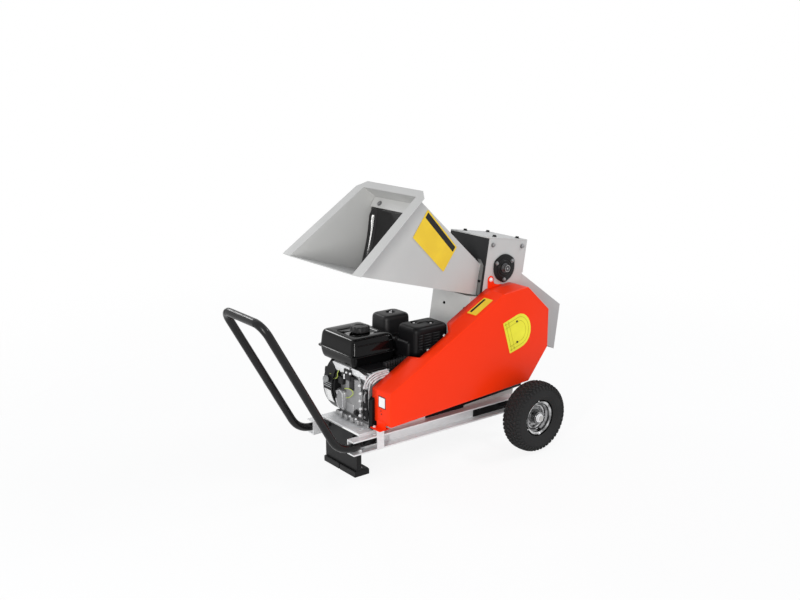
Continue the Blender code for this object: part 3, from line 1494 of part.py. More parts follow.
make_crankcase()
make_crankshaft()
make_cylinder()
make_valve_cover()
make_spark_plug_cap()
make_carburettor()
make_air_cleaner()
make_fan_cover()
make_recoil_cover()
make_recoil_grip()
make_engine_switch()
make_tank()
make_fuel_cap()
make_muffler()
make_muffler_guard()
make_oil_filler_cap()
make_alert_unit()
make_lever("throttle_lever", (throttle_pivot[0], lever_y, throttle_pivot[1]), (0, 1, 0),
           (throttle_tip[0], lever_y, throttle_tip[1]), 0.006, 0.003, steel)
make_lever("choke_lever", (carb_right + gap, *choke_pivot), (1, 0, 0), (carb_right + gap, *choke_tip), 0.005,
           0.003, black_plastic)
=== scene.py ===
import json
import math
import bmesh
import bpy
import numpy as np
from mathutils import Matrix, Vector


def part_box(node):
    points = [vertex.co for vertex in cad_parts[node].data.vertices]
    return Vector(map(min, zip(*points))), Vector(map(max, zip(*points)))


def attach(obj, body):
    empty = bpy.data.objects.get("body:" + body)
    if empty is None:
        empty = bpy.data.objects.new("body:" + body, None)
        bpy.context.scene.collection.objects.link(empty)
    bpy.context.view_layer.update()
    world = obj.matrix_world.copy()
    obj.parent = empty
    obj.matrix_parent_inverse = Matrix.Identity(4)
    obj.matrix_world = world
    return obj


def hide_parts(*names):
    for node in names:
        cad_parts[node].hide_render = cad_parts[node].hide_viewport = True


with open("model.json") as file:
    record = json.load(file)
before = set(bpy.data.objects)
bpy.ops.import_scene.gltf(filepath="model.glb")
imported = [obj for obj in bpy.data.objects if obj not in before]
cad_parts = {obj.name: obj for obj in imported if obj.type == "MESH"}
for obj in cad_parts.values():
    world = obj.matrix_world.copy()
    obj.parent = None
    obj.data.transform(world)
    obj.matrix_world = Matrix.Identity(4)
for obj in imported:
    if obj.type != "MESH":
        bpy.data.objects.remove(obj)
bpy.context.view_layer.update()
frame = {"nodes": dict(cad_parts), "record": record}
cadNodes = frame["nodes"]
scene = bpy.context.scene
shift = sum(corner[0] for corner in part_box("axle")) / 2  # the axle's place; shapes are worked out from it
print("stage: frame loaded,", len(cadNodes), "nodes")


# values that several pieces share
grainDepth = 0.0003
axleHeight = 0.13
greyColour = (0.535, 0.535, 0.522)
ringPoints = 144
pureWhite = (1.0, 1.0, 1.0, 1.0)


# shader helpers
class Wire:
    # a socket that sums, products and steps can be written with
    def __init__(self, graph, socket):
        self.graph = graph
        self.socket = socket

    def maths(self, operation, other):
        node = self.graph.tree.nodes.new("ShaderNodeMath")
        node.operation = operation
        self.graph.tree.links.new(self.socket, node.inputs[0])
        if isinstance(other, Wire):
            self.graph.tree.links.new(other.socket, node.inputs[1])
        else:
            node.inputs[1].default_value = other
        return Wire(self.graph, node.outputs[0])

    def __add__(self, other):
        return self.maths("ADD", other)

    def __mul__(self, other):
        return self.maths("MULTIPLY", other)

    def least(self, other):
        return self.maths("MINIMUM", other)

    def most(self, other):
        return self.maths("MAXIMUM", other)

    def step(self, start, end, first=0.0, last=1.0):
        node = self.graph.tree.nodes.new("ShaderNodeMapRange")
        node.interpolation_type = "SMOOTHSTEP"
        self.graph.tree.links.new(self.socket, node.inputs["Value"])
        for name, value in (("From Min", start), ("From Max", end), ("To Min", first), ("To Max", last)):
            node.inputs[name].default_value = value
        return Wire(self.graph, node.outputs[0])


class Graph:
    # a node tree of a material or of the world
    def __init__(self, tree):
        self.tree = tree

    def node(self, kind, settings=None, inputs=None, output=0):
        made = self.tree.nodes.new("ShaderNode" + kind)
        for key, value in (settings or {}).items():
            setattr(made, key, value)
        for key, value in (inputs or {}).items():
            if isinstance(value, Wire):
                self.tree.links.new(value.socket, made.inputs[key])
            else:
                made.inputs[key].default_value = value
        return Wire(self, made.outputs[output])

    def seenRays(self):
        # 1 for a ray that comes from the camera or by way of gloss or glass
        rays = [self.node("LightPath", output="Is " + kind + " Ray") for kind in ("Camera", "Glossy", "Transmission")]
        return rays[0].most(rays[1]).most(rays[2])

    def end(self, name, wire):
        self.tree.links.new(wire.socket, self.tree.nodes[name].inputs["Surface"])


class Surface(Graph):
    # a material whose plain values are given by name
    def __init__(self, name, **constants):
        self.material = bpy.data.materials.new(name)
        self.material.use_nodes = True
        super().__init__(self.material.node_tree)
        self.shader = self.tree.nodes["Principled BSDF"]
        for key, value in constants.items():
            socket = self.shader.inputs[key.replace("_", " ")]
            socket.default_value = (*value, 1.0) if isinstance(value, tuple) else value

    def place(self):
        return self.node("TexCoord", output="Object")

    def stretched(self, x, y, z):
        return self.node("Mapping", inputs={"Vector": self.place(), "Scale": (x, y, z)})

    def noise(self, scale, detail=3.0, rough=0.5, vector=None):
        return self.node("TexNoise", inputs={"Vector": vector or self.place(), "Scale": scale,
                                             "Detail": detail, "Roughness": rough})

    def blend(self, first, second, factor):
        made = self.tree.nodes.new("ShaderNodeMix")
        made.data_type = "RGBA"
        for key, value in (("A", first), ("B", second)):
            socket = next(s for s in made.inputs if s.name == key and s.type == "RGBA")
            if isinstance(value, Wire):
                self.tree.links.new(value.socket, socket)
            else:
                socket.default_value = (*value, 1.0)
        self.tree.links.new(factor.socket, made.inputs[0])
        return Wire(self, next(s for s in made.outputs if s.type == "RGBA"))

    def set(self, key, wire):
        self.tree.links.new(wire.socket, self.shader.inputs[key])

    def bump(self, height, strength):
        bumped = self.node("Bump", inputs={"Height": height, "Strength": strength, "Distance": grainDepth})
        self.set("Normal", bumped)


def paint(name, colour, rough, grain=0.25, grainScale=420.0, dust=0.08, wave=0.02, gleam=0.3, shaded=None):
    # soft waves and dust in the colour; shaded is a direction, a depth along it and the share of light past it
    made = Surface(name, Roughness=rough, Specular_IOR_Level=gleam)
    shade = made.blend(tuple(c * (1.0 - wave * 2) for c in colour), tuple(min(1.0, c * (1.0 + wave)) for c in colour),
                       made.noise(4.0, 4.0).step(0.35, 0.65))
    dusty = tuple(c * 0.7 + 0.1 for c in colour)
    shade = made.blend(shade, dusty, made.noise(11.0, 6.0, 0.65).step(0.55, 0.85) * dust)
    if shaded:
        direction, edge, share = shaded
        depth = made.node("VectorMath", {"operation": "DOT_PRODUCT"}, {0: made.place(), 1: direction}, "Value")
        shade = made.blend(shade, tuple(c * share for c in colour), depth.step(edge, edge + 0.001))
    made.set("Base Color", shade)
    made.set("Roughness", made.noise(7.0, 3.0).step(0.3, 0.7, rough - 0.04, rough + 0.06))
    made.bump(made.noise(grainScale, 2.0), grain)
    return made.material


def metal(name, colour, rough, streak=(6.0, 6.0, 60.0), grain=0.15, patch=0.1, metallic=1.0):
    # drawn-out lines in the colour, lines and spots in the roughness
    made = Surface(name, Metallic=metallic, Roughness=rough)
    lines = made.noise(8.0, 5.0, 0.6, made.stretched(*streak))
    spots = made.noise(26.0, 5.0, 0.6)
    made.set("Base Color", made.blend(tuple(c * (1.0 - patch) for c in colour), colour, lines.step(0.3, 0.7)))
    made.set("Roughness", (lines * 0.12 + spots * 0.16 + (rough - 0.14)).most(0.04))
    made.bump(lines + spots * 0.5, grain)
    return made.material


def plastic(name, colour, rough, grain=0.2, scale=700.0, haze=0.06, gleam=0.3):
    # slightly paler clouds in the colour
    made = Surface(name, Roughness=rough, Specular_IOR_Level=gleam)
    made.set("Base Color", made.blend(colour, tuple(min(1.0, c * 1.3 + 0.002) for c in colour),
                                      made.noise(9.0, 5.0).step(0.4, 0.75) * 0.6))
    made.set("Roughness", made.noise(18.0, 4.0).step(0.3, 0.7, rough - haze, rough + haze))
    made.bump(made.noise(scale, 2.0), grain)
    return made.material


def chromed(name):
    # painted light by distance from the axle line: a painted highlight on the rolled lip and the hub, painted shade
    # darker in the dish between them
    made = Surface(name, Metallic=1.0, Roughness=0.16)
    spot = made.node("VectorMath", {"operation": "SUBTRACT"}, {0: made.place(), 1: (shift, 0.0, axleHeight)})
    spot = made.node("VectorMath", {"operation": "MULTIPLY"}, {0: spot, 1: (1.0, 0.0, 1.0)})
    away = made.node("VectorMath", {"operation": "LENGTH"}, {0: spot}, "Value")
    # painted highlight on the lip and near the hub, painted shade across the dish
    shade = away.step(0.0525, 0.056) * 0.55 + away.step(0.015, 0.026, 1.0, 0.0) * 0.15 + 0.42
    # a painted bright ring across the dish, standing for a reflection
    shade = shade + away.step(0.036, 0.0395) * away.step(0.0435, 0.047, 1.0, 0.0) * 0.45
    # patches of painted reflection laid over the chrome's colour
    paintedSwirl = made.noise(46.0, 3.0, 0.5).step(0.38, 0.62) * 0.75 + 0.25
    made.set("Base Color", made.blend((0.075, 0.075, 0.078), (0.62, 0.62, 0.625), (shade * paintedSwirl).least(1.0)))
    made.set("Roughness", made.noise(26.0, 5.0, 0.6).step(0.3, 0.7, 0.12, 0.24))
    return made.material


finishes = {
    "grey_paint": paint("greyPaint", greyColour, 0.5, grainScale=520.0),
    "red_paint": paint("redPaint", (0.95, 0.036, 0.0035), 0.34, grain=0.02, grainScale=160.0, dust=0.0,
                       wave=0.01, gleam=0.14),
    "black_paint": paint("blackPaint", (0.0078, 0.0078, 0.0082), 0.34, grain=0.2, dust=0.02, gleam=0.16),
    "zinc_steel": metal("zincSteel", (0.82, 0.825, 0.83), 0.4, (6.0, 60.0, 60.0), grain=0.05,
                       metallic=0.3, patch=0.1),
    "bare_steel": metal("bareSteel", (0.52, 0.51, 0.5), 0.32, (6.0, 60.0, 6.0)),
    "tyre_rubber": plastic("tyreRubber", (0.021, 0.021, 0.021), 0.75, grain=0.4, scale=300.0, gleam=0.15),
    "black_rubber": plastic("blackRubber", (0.0072, 0.007, 0.0076), 0.34, grain=0.1, scale=120.0, gleam=0.16),
    "chrome": chromed("chromeSteel"),
    "cast_aluminium": metal("castAluminium", (0.4, 0.4, 0.405), 0.5, (40.0, 40.0, 40.0), grain=0.6, patch=0.35,
                            metallic=0.7),
    "black_plastic": plastic("blackPlastic", (0.0125, 0.0123, 0.013), 0.42, gleam=0.22),
    "gloss_black": plastic("glossBlack", (0.0024, 0.0024, 0.0026), 0.07, grain=0.01, haze=0.02, gleam=0.15),
    "grey_plastic": plastic("greyPlastic", (0.36, 0.37, 0.37), 0.45),
    "wire_yellow": plastic("wireYellow", (0.42, 0.5, 0.1), 0.42),
    "cast_iron": metal("castIron", (0.1, 0.1, 0.105), 0.55, (30.0, 30.0, 30.0), grain=0.5),
    "guardBlack": paint("guardBlack", (0.0048, 0.0047, 0.0052), 0.4, grain=0.3, dust=0.0, gleam=0.12),
    "frontBlack": paint("frontBlack", (0.022, 0.022, 0.0225), 0.36, grain=0.2, dust=0.0, gleam=0.16),
    # a paler copy of the cast aluminium for the case's ribs and arcs: painted highlight where they catch the light
    "ribHighlightCast": metal("ribHighlightCast", (0.7, 0.7, 0.71), 0.42, (30.0, 30.0, 30.0), grain=0.3, patch=0.45,
                        metallic=0.15),
    "dimSteel": metal("dimSteel", (0.26, 0.26, 0.265), 0.35, (20.0, 20.0, 20.0), grain=0.2, metallic=0.7),
    "handlePaint": plastic("handlePaint", (0.0074, 0.0074, 0.0078), 0.27, grain=0.05, scale=400.0, gleam=0.24),
    "curtainRubber": plastic("curtainRubber", (0.005, 0.0048, 0.0054), 0.11, grain=0.03, scale=90.0, gleam=0.32),
}
for labelName, labelColour in (("labelYellow", (0.83, 0.56, 0.035)), ("labelLemon", (0.8, 0.74, 0.045)),
                               ("labelOlive", (0.42, 0.37, 0.01)), ("labelWhite", (0.86, 0.86, 0.85)),
                               ("labelBlack", (0.008, 0.008, 0.008))):
    finishes[labelName] = plastic(labelName, labelColour, 0.45, grain=0.05, gleam=0.2)
slotOf = {entry["node"]: entry["material_slot"] for entry in frame["record"]["subparts"]}
for nodeName, nodeObject in cadNodes.items():
    if nodeObject.type == "MESH":
        nodeObject.data.materials.clear()
        nodeObject.data.materials.append(finishes[slotOf[nodeName]])
for nodeName in ("cylinder", "valve_cover"):
    cadNodes[nodeName].data.materials[0] = finishes["guardBlack"]
cadNodes["upper_front_plate"].data.materials[0] = finishes["frontBlack"]
print("stage: materials set")


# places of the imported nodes, measured from the axle along x
def low(name):
    return np.array(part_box(name)[0]) - (shift, 0, 0)


def high(name):
    return np.array(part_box(name)[1]) - (shift, 0, 0)


def middle(name):
    return (low(name) + high(name)) / 2


housing = {"top": (-0.0707, 0.7637), "tilt": math.radians(9.1), "half": 0.104, "flange": 0.2008}
tiltCos, tiltSin = math.cos(housing["tilt"]), math.sin(housing["tilt"])


def at(u, v):
    # x and z of a housing point: u to the rear along the tilted top, v down from it
    return np.array((housing["top"][0] + u * tiltCos - v * tiltSin, housing["top"][1] - u * tiltSin - v * tiltCos))


def makeHopperPaint():
    # the flange at the throat lies in the shade of the mouth, so the paint is darker past the flange's plane
    origin = cadNodes["hopper"].matrix_world.translation
    edge = -housing["flange"] - tiltCos * (origin.x - shift) + tiltSin * origin.z
    cadNodes["hopper"].data.materials[0] = paint("hopperPaint", greyColour, 0.5, grainScale=520.0,
                                                 shaded=((tiltCos, 0.0, -tiltSin), edge, 0.26))


makeHopperPaint()


# geometry helpers: a shape is a pair of a point array and a list of faces
def gridFaces(rows, columns, closeRows=False, closeColumns=False):
    r, c = np.meshgrid(np.arange(rows if closeRows else rows - 1),
                       np.arange(columns if closeColumns else columns - 1), indexing="ij")
    r, c = r.ravel(), c.ravel()
    below, beside = (r + 1) % rows, (c + 1) % columns
    return np.stack([r * columns + c, r * columns + beside, below * columns + beside, below * columns + c],
                    axis=1).tolist()


def lathe(profile, steps=64, centre=(0, 0, 0), axis=(0, 1, 0), lobes=None):
    # a profile of radius and height spun round an axis: centre + height * axis + radius * (cos, sin);
    # lobes is a number of waves and, for each profile point, how deep they cut into its radius
    profile = np.asarray(profile, float)
    axis = np.asarray(axis, float) / np.linalg.norm(axis)
    first = np.cross(axis, (0.0, 0.0, 1.0) if abs(axis[2]) < 0.9 else (1.0, 0.0, 0.0))
    first /= np.linalg.norm(first)
    second = np.cross(axis, first)
    angle = np.arange(steps) * math.tau / steps
    ring = np.cos(angle)[:, None] * first + np.sin(angle)[:, None] * second
    radius = np.repeat(profile[None, :, 0], steps, axis=0)
    if lobes:
        radius = radius - (0.5 - 0.5 * np.cos(lobes[0] * angle))[:, None] ** lobes[2] * np.asarray(lobes[1])[None, :]
    points = np.asarray(centre) + profile[None, :, 1:2] * axis + radius[:, :, None] * ring[:, None, :]
    return points.reshape(-1, 3), gridFaces(steps, len(profile), closeRows=True)


def tubeRings(path, radius, sides=16, flat=1.0, up=(0, 1, 0)):
    # a round or oval section at each point of a path: centre + radius * (cos * across + flat * sin * over)
    path = np.asarray(path, float)
    ahead = np.gradient(path, axis=0)
    ahead /= np.linalg.norm(ahead, axis=1)[:, None]
    across = np.cross(ahead, np.asarray(up, float))
    weak = np.linalg.norm(across, axis=1) < 0.2
    across[weak & (np.arange(len(path)) == 0)] = np.cross(ahead[0], (0.3, 0.2, 0.93))
    for i in np.flatnonzero(weak):
        if i:
            across[i] = across[i - 1] - ahead[i] * np.dot(across[i - 1], ahead[i])
    across /= np.linalg.norm(across, axis=1)[:, None]
    over = np.cross(across, ahead)
    radius = np.broadcast_to(np.asarray(radius, float), (len(path),))[:, None, None]
    flat = np.broadcast_to(np.asarray(flat, float), (len(path),))[:, None, None]
    angle = np.arange(sides) * math.tau / sides
    return path[:, None, :] + radius * (np.cos(angle)[None, :, None] * across[:, None, :]
                                        + flat * np.sin(angle)[None, :, None] * over[:, None, :])


def skin(rings):
    # a closed surface over rings of equally many points, each end closed by a flat face
    rings = np.asarray(rings)
    count = rings.shape[1]
    faces = gridFaces(len(rings), count, closeColumns=True)
    faces.append(list(range(count)))
    faces.append([(len(rings) - 1) * count + k for k in range(count)])
    return rings.reshape(-1, 3), faces


def bowl(rings):
    # the same with its first end left open
    points, faces = skin(rings)
    faces.pop(-2)
    return points, faces


def sweep(path, radius, sides=16, up=(0, 1, 0)):
    return skin(tubeRings(path, radius, sides, 1.0, up))


def curve(points, steps=8):
    # a Catmull-Rom line through the points
    p = np.asarray(points, float)
    p = np.vstack([2 * p[0] - p[1], p, 2 * p[-1] - p[-2]])
    t = np.linspace(0, 1, steps, endpoint=False)[:, None]
    parts = []
    for a, b, c, d in zip(p, p[1:], p[2:], p[3:]):
        parts.append(0.5 * (2 * b + (c - a) * t + (2 * a - 5 * b + 4 * c - d) * t ** 2
                            + (3 * b - a - 3 * c + d) * t ** 3))
    return np.vstack(parts + [p[-2:-1]])


def softBox(centre, size, radius, steps=4, frameAxes=None):
    # a box with round edges: (half size - radius) * sign + radius * direction on a split sphere
    half = np.asarray(size, float) / 2
    radius = min(radius, half.min() * 0.999)
    quarter = np.linspace(0, math.pi / 2, steps + 1)
    lon = np.concatenate([quarter + k * math.pi / 2 for k in range(4)])
    signX = np.repeat([1, -1, -1, 1], steps + 1)
    signY = np.repeat([1, 1, -1, -1], steps + 1)
    lat = np.concatenate([quarter - math.pi / 2, quarter])
    signZ = np.repeat([-1, 1], steps + 1)
    x = np.cos(lat)[:, None] * np.cos(lon) * radius + (half[0] - radius) * signX
    y = np.cos(lat)[:, None] * np.sin(lon) * radius + (half[1] - radius) * signY
    z = np.sin(lat)[:, None] * radius + ((half[2] - radius) * signZ)[:, None] + 0 * lon
    points, faces = skin(np.stack([x, y, z], axis=2))
    if frameAxes is not None:
        points = points @ np.asarray(frameAxes, float)
    return points + np.asarray(centre, float), faces


def prism(outline, lowEnd, highEnd, axis="y", edge=0.0):
    # an outline carried straight along one axis, its rims drawn in by a small round edge
    outline = np.asarray(outline, float)
    order = {"x": (2, 0, 1), "y": (0, 2, 1), "z": (0, 1, 2)}[axis]
    turns = np.linspace(0, math.pi / 2, 4) if edge else np.array([math.pi / 2])
    rows = [(edge * (1 - math.sin(t)), lowEnd + edge * (1 - math.cos(t))) for t in turns]
    rows += [(draw, lowEnd + highEnd - level) for draw, level in rows[::-1]]
    rings = [np.column_stack([inset(outline, draw) if draw else outline, np.full(len(outline), level)])[:, order]
             for draw, level in rows]
    return skin(np.array(rings))


def inset(outline, distance):
    # each corner moved inwards along the bisector of its two sides
    outline = np.asarray(outline, float)
    before = outline - np.roll(outline, 1, axis=0)
    after = np.roll(outline, -1, axis=0) - outline
    before /= np.maximum(np.linalg.norm(before, axis=1), 1e-9)[:, None]
    after /= np.maximum(np.linalg.norm(after, axis=1), 1e-9)[:, None]
    area = np.sum(outline[:, 0] * np.roll(outline[:, 1], -1) - np.roll(outline[:, 0], -1) * outline[:, 1])
    side = 1.0 if area > 0 else -1.0
    left = np.stack([-before[:, 1], before[:, 0]], axis=1) * side
    other = np.stack([-after[:, 1], after[:, 0]], axis=1) * side
    bisector = left + other
    bisector /= np.maximum(np.linalg.norm(bisector, axis=1), 1e-9)[:, None]
    return outline + bisector * (distance / np.maximum(np.sum(bisector * left, axis=1), 0.3))[:, None]


def roundRect(left, right, near, far, corner, count=12):
    # a rectangle with round corners: corner centre + corner * (cos, sin)
    centres = np.array([(right - corner, far - corner), (left + corner, far - corner),
                        (left + corner, near + corner), (right - corner, near + corner)])
    angle = np.linspace(0, math.pi / 2, count)[None, :] + np.arange(4)[:, None] * math.pi / 2
    ring = centres[:, None, :] + corner * np.stack([np.cos(angle), np.sin(angle)], axis=2)
    return ring.reshape(-1, 2)


def spread(ring, count):
    # a closed outline with its points spaced evenly along it
    closed = np.vstack([ring, ring[:1]])
    length = np.concatenate([[0], np.cumsum(np.linalg.norm(np.diff(closed, axis=0), axis=1))])
    wanted = np.arange(count) * length[-1] / count
    return np.stack([np.interp(wanted, length, closed[:, 0]), np.interp(wanted, length, closed[:, 1])], axis=1)


def roundOff(outline, radius, count=6):
    # every corner of an outline replaced by an arc that touches both of its sides
    outline = [np.asarray(point, float) for point in outline]
    points = []
    for i, here in enumerate(outline):
        back = outline[i - 1] - here
        ahead = outline[(i + 1) % len(outline)] - here
        back, ahead = back / np.linalg.norm(back), ahead / np.linalg.norm(ahead)
        half = math.acos(max(-1.0, min(1.0, float(back @ ahead)))) / 2
        reach = radius / math.tan(half)
        centre = here + (back + ahead) / np.linalg.norm(back + ahead) * radius / math.sin(half)
        start, end = here + back * reach - centre, here + ahead * reach - centre
        sweepAngle = math.pi - 2 * half
        for t in np.linspace(0, 1, count):
            points.append(centre + (start * math.sin((1 - t) * sweepAngle) + end * math.sin(t * sweepAngle))
                          / math.sin(sweepAngle))
    return np.array(points)


def merged(*shapes):
    points, faces, start = [], [], 0
    for p, f in shapes:
        points.append(p)
        faces.extend([[i + start for i in face] for face in f])
        start += len(p)
    return np.vstack(points), faces


def makePiece(facts, *shapes):
    points, faces = merged(*shapes)
    mesh = bpy.data.meshes.new(facts["name"])
    mesh.from_pydata((np.asarray(points) + (shift, 0, 0)).tolist(), [], faces)
    work = bmesh.new()
    work.from_mesh(mesh)
    bmesh.ops.remove_doubles(work, verts=work.verts, dist=0.00002)
    bmesh.ops.dissolve_degenerate(work, dist=0.00001, edges=work.edges)
    bmesh.ops.recalc_face_normals(work, faces=work.faces)
    work.to_mesh(mesh)
    work.free()
    mesh.materials.append(finishes[facts.get("finish", facts["slot"])])
    mesh.shade_smooth()
    mesh.set_sharp_from_angle(angle=math.radians(facts.get("angle", 35)))
    obj = bpy.data.objects.new(facts["name"], mesh)
    scene.collection.objects.link(obj)
    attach(obj, facts.get("body", "frame"))
    if facts.get("instead"):
        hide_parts(*facts["instead"])
    return obj


def thicken(piece, thickness, offset=-1.0):
    sheet = piece.modifiers.new("sheet", "SOLIDIFY")
    sheet.thickness = thickness
    sheet.offset = offset


def button(centre, direction, foot, crown, side, height, steps=20):
    # a low turned head: foot radius, crown radius, height of its side and height of its middle
    return lathe([(0, 0), (foot, 0), (crown, side), (0, height)], steps, centre, direction)


def wallRings(rows, box, corner, shrink, least, count):
    # one evenly spaced ring of a round-cornered rectangle for each pair of inset and level
    left, right, near, far = box
    rings = []
    for draw, level in rows:
        ring = spread(roundRect(left + draw, right - draw, near + draw, far - draw,
                                max(corner - draw * shrink, least)), count)
        rings.append(np.column_stack([ring, np.full(count, level)]))
    return rings


def roundRings(rows, x, y, count):
    # one round ring about x, y for each pair of radius and level
    rings = []
    for radius, level in rows:
        ring = spread(roundRect(x - radius, x + radius, y - radius, y + radius, radius * 0.999), count)
        rings.append(np.column_stack([ring, np.full(count, level)]))
    return rings


# hexagon bolts
def hexBolt(centre, direction, radius=0.0065, height=0.0053, washer=0.0016):
    # a flat washer and a hexagon head with a chamfered top, both spun from short profiles
    direction = np.asarray(direction, float) / np.linalg.norm(direction)
    centre = np.asarray(centre, float)
    base = lathe([(0, 0), (radius * 1.35, 0), (radius * 1.35, washer), (0, washer)], 20, centre, direction)
    side = np.cross(direction, (0.13, 0.21, 0.97))
    side /= np.linalg.norm(side)
    other = np.cross(direction, side)
    angle = np.arange(6) * math.tau / 6 + 0.3
    ring = np.cos(angle)[:, None] * side + np.sin(angle)[:, None] * other
    rings = [centre + direction * h + ring * r for r, h in
             ((radius, washer), (radius, washer + height * 0.85), (radius * 0.86, washer + height))]
    return merged(base, skin(np.array(rings)))


def makeFasteners():
    # both sides of the tilted housing, of the frame, the leg and the hopper, then the single ones
    upward, forward = (tiltSin, 0, tiltCos), (-tiltCos, 0, tiltSin)
    dark, bright, dim = [], [], []

    def onTilt(u, v, y):
        x, z = at(u, v)
        return (x, y, z)

    for side in (-1, 1):
        for u in (0.045, 0.16):
            dark.append(hexBolt(onTilt(u, -0.0048, side * 0.08), upward))
        for u, v in ((0.021, 0.023), (0.166, 0.021)):
            dim.append(hexBolt(onTilt(u, v, side * housing["half"]), (0, side, 0)))
        for v, y in ((0.157, 0.089), (0.0865, 0.06), (0.209, 0.075)):
            dark.append(hexBolt(onTilt(-0.0071, v, side * y), forward, 0.005, 0.0042, 0.001))
        for u, v in ((0.089, 0.103), (0.089, 0.345)):
            for k in range(3):
                angle = math.radians(30 + 120 * k)
                x, z = at(u, v)
                dim.append(hexBolt((x + 0.043 * math.cos(angle), side * 0.1082, z + 0.043 * math.sin(angle)),
                                   (0, side, 0), 0.0055, 0.005, 0.0012))
        for x in (-0.115, 0.035):
            dark.append(hexBolt((x, side * 0.1136, 0.13), (0, side, 0)))
        for x in (-0.636, -0.592):
            dark.append(hexBolt((x, side * 0.1216, 0.127), (0, side, 0), 0.0055))
        for x in (-0.59, -0.445):
            bright.append(hexBolt((x, side * 0.066, 0.1773), (0, 0, 1), 0.0055))
        bright.append(hexBolt((-0.629, side * 0.077, 0.0235), (0, 0, 1)))
        bright.append(hexBolt((-0.66, side * 0.127, 0.1075), (0, 0, 1), 0.0055))
        dim.append(hexBolt((-0.4119, side * 0.0926, 0.8972), (-0.8153, 0, 0.579), 0.0072, 0.0045, 0.0016))
    for y in (-0.08, 0.032):
        dark.append(hexBolt(onTilt(-0.053, 0.26, y), forward, 0.0042, 0.0036, 0.001))
    for y in (-0.079, 0.069):
        dark.append(hexBolt((-0.6528, y, 0.142), (-1, 0, 0), 0.0055))
    bright.append(hexBolt((-0.0626, -0.1063, 0.6125), (0, -1, 0), 0.0058))
    bright.append(hexBolt((-0.105, -0.1063, 0.2), (0, -1, 0), 0.0058))
    bright.append(hexBolt((-0.607, -0.135, 0.185), (0, 0, 1), 0.0045, 0.0038, 0.001))
    makePiece({"name": "darkBolts", "slot": "black_paint", "angle": 30}, *dark)
    makePiece({"name": "zincBolts", "slot": "zinc_steel", "angle": 30}, *bright)
    makePiece({"name": "steelBolts", "slot": "bare_steel", "finish": "dimSteel", "angle": 30}, *dim)


makeFasteners()
print("stage: fasteners")


# wheels
tyre = {"radius": axleHeight, "bead": 0.0565, "halfWidth": 0.0425, "power": 2.7, "reach": 137.0, "tread": 0.0042,
        "lugs": 46}


def tyreSurface(turn, t, lift):
    # radius and height along the section: middle + half * |cos t| ^ (2 / power), half width * |sin t| ^ (2 / power),
    # moved out along the section's own normal, then carried round the axle by the turn
    half = (tyre["radius"] - tyre["bead"]) / 2 - tyre["tread"] * 0.9
    centre = (tyre["radius"] + tyre["bead"]) / 2 - tyre["tread"] * 0.1
    wide = tyre["halfWidth"] - 0.0022
    c, s = np.cos(t), np.sin(t)
    power = 2 / tyre["power"]
    r = centre + half * np.sign(c) * np.abs(c) ** power
    h = wide * np.sign(s) * np.abs(s) ** power
    nr = np.sign(c) * np.abs(c) ** (2 - power) / half
    nh = np.sign(s) * np.abs(s) ** (2 - power) / wide
    size = np.sqrt(nr ** 2 + nh ** 2)
    r, h, turn = np.broadcast_arrays(r + lift * nr / size, h + lift * nh / size, turn)
    return np.stack([r * np.sin(turn), h, r * np.cos(turn)], axis=-1)


def makeTyre(word):
    # a closed carcass and rows of lugs set along its section, each lug an outline that narrows as it rises
    centre = np.array((0.0, middle("rim_" + word)[1], tyre["radius"]))
    t = np.radians(np.linspace(-tyre["reach"], tyre["reach"], 61))
    turn = np.arange(ringPoints) * math.tau / ringPoints
    ribs = sum(tall * np.exp(-((np.abs(np.degrees(t)) - spot) / wide) ** 2)
               for tall, spot, wide in ((0.0008, 101, 2.2), (0.0007, 119, 2.5)))  # fine rings on the side walls
    outside = tyreSurface(turn[:, None], t[None, :], ribs[None, :])
    lipT = t[::-1][::6]
    inside = tyreSurface(turn[:, None], lipT[None, :], np.full(len(lipT), -0.006)[None, :])
    both = np.concatenate([outside, inside], axis=1)
    carcass = (both.reshape(-1, 3), gridFaces(len(turn), both.shape[1], closeRows=True, closeColumns=True))
    pitch = math.tau / tyre["lugs"]
    rows = [(0.0, 0.0, 0.5, 6.0, 0.0), (17.0, 0.5, 0.46, 6.5, 0.16), (35.0, 0.0, 0.46, 7.5, -0.16),
            (57.0, 0.5, 0.52, 12.0, 0.0)]  # section angle, shift along, length share, half width, skew
    blocks = []
    for angle, phase, share, wide, skew in rows:
        for sign in ((1,) if angle == 0 else (1, -1)):
            u = np.array([(-1, -1), (1, -1), (1, 1), (-1, 1)], float)
            levels = [(1.12, -0.0012), (1.0, tyre["tread"] * 0.72), (0.8, tyre["tread"])]
            first = (np.arange(tyre["lugs"]) + phase) * pitch
            shape = np.array([[(du * grow * share / 2 * pitch + dv * skew * pitch,
                                math.radians(sign * angle + dv * grow * wide), lift) for du, dv in u]
                              for grow, lift in levels])
            turns = first[:, None, None] + shape[None, :, :, 0]
            sections = np.broadcast_to(shape[None, :, :, 1], turns.shape)
            lifts = np.broadcast_to(shape[None, :, :, 2], turns.shape)
            points = tyreSurface(turns, sections, lifts)
            one = gridFaces(3, 4, closeColumns=True) + [[8, 9, 10, 11]]
            faces = (np.arange(tyre["lugs"])[:, None, None] * 12 + np.array(one)[None, :, :]).reshape(-1, 4)
            blocks.append((points.reshape(-1, 3), faces.tolist()))
    points, faces = merged(carcass, *blocks)
    makePiece({"name": "tyre_" + word + "_tread", "slot": "tyre_rubber", "body": "wheel_" + word,
               "instead": ["tyre_" + word], "angle": 28}, (points + centre, faces))


rim = {"lip": 0.0625, "half": 0.031, "hubHalf": 0.027, "boltCircle": 0.0335, "boltSeat": 0.0073, "valve": 2.9,
       "steps": 96}


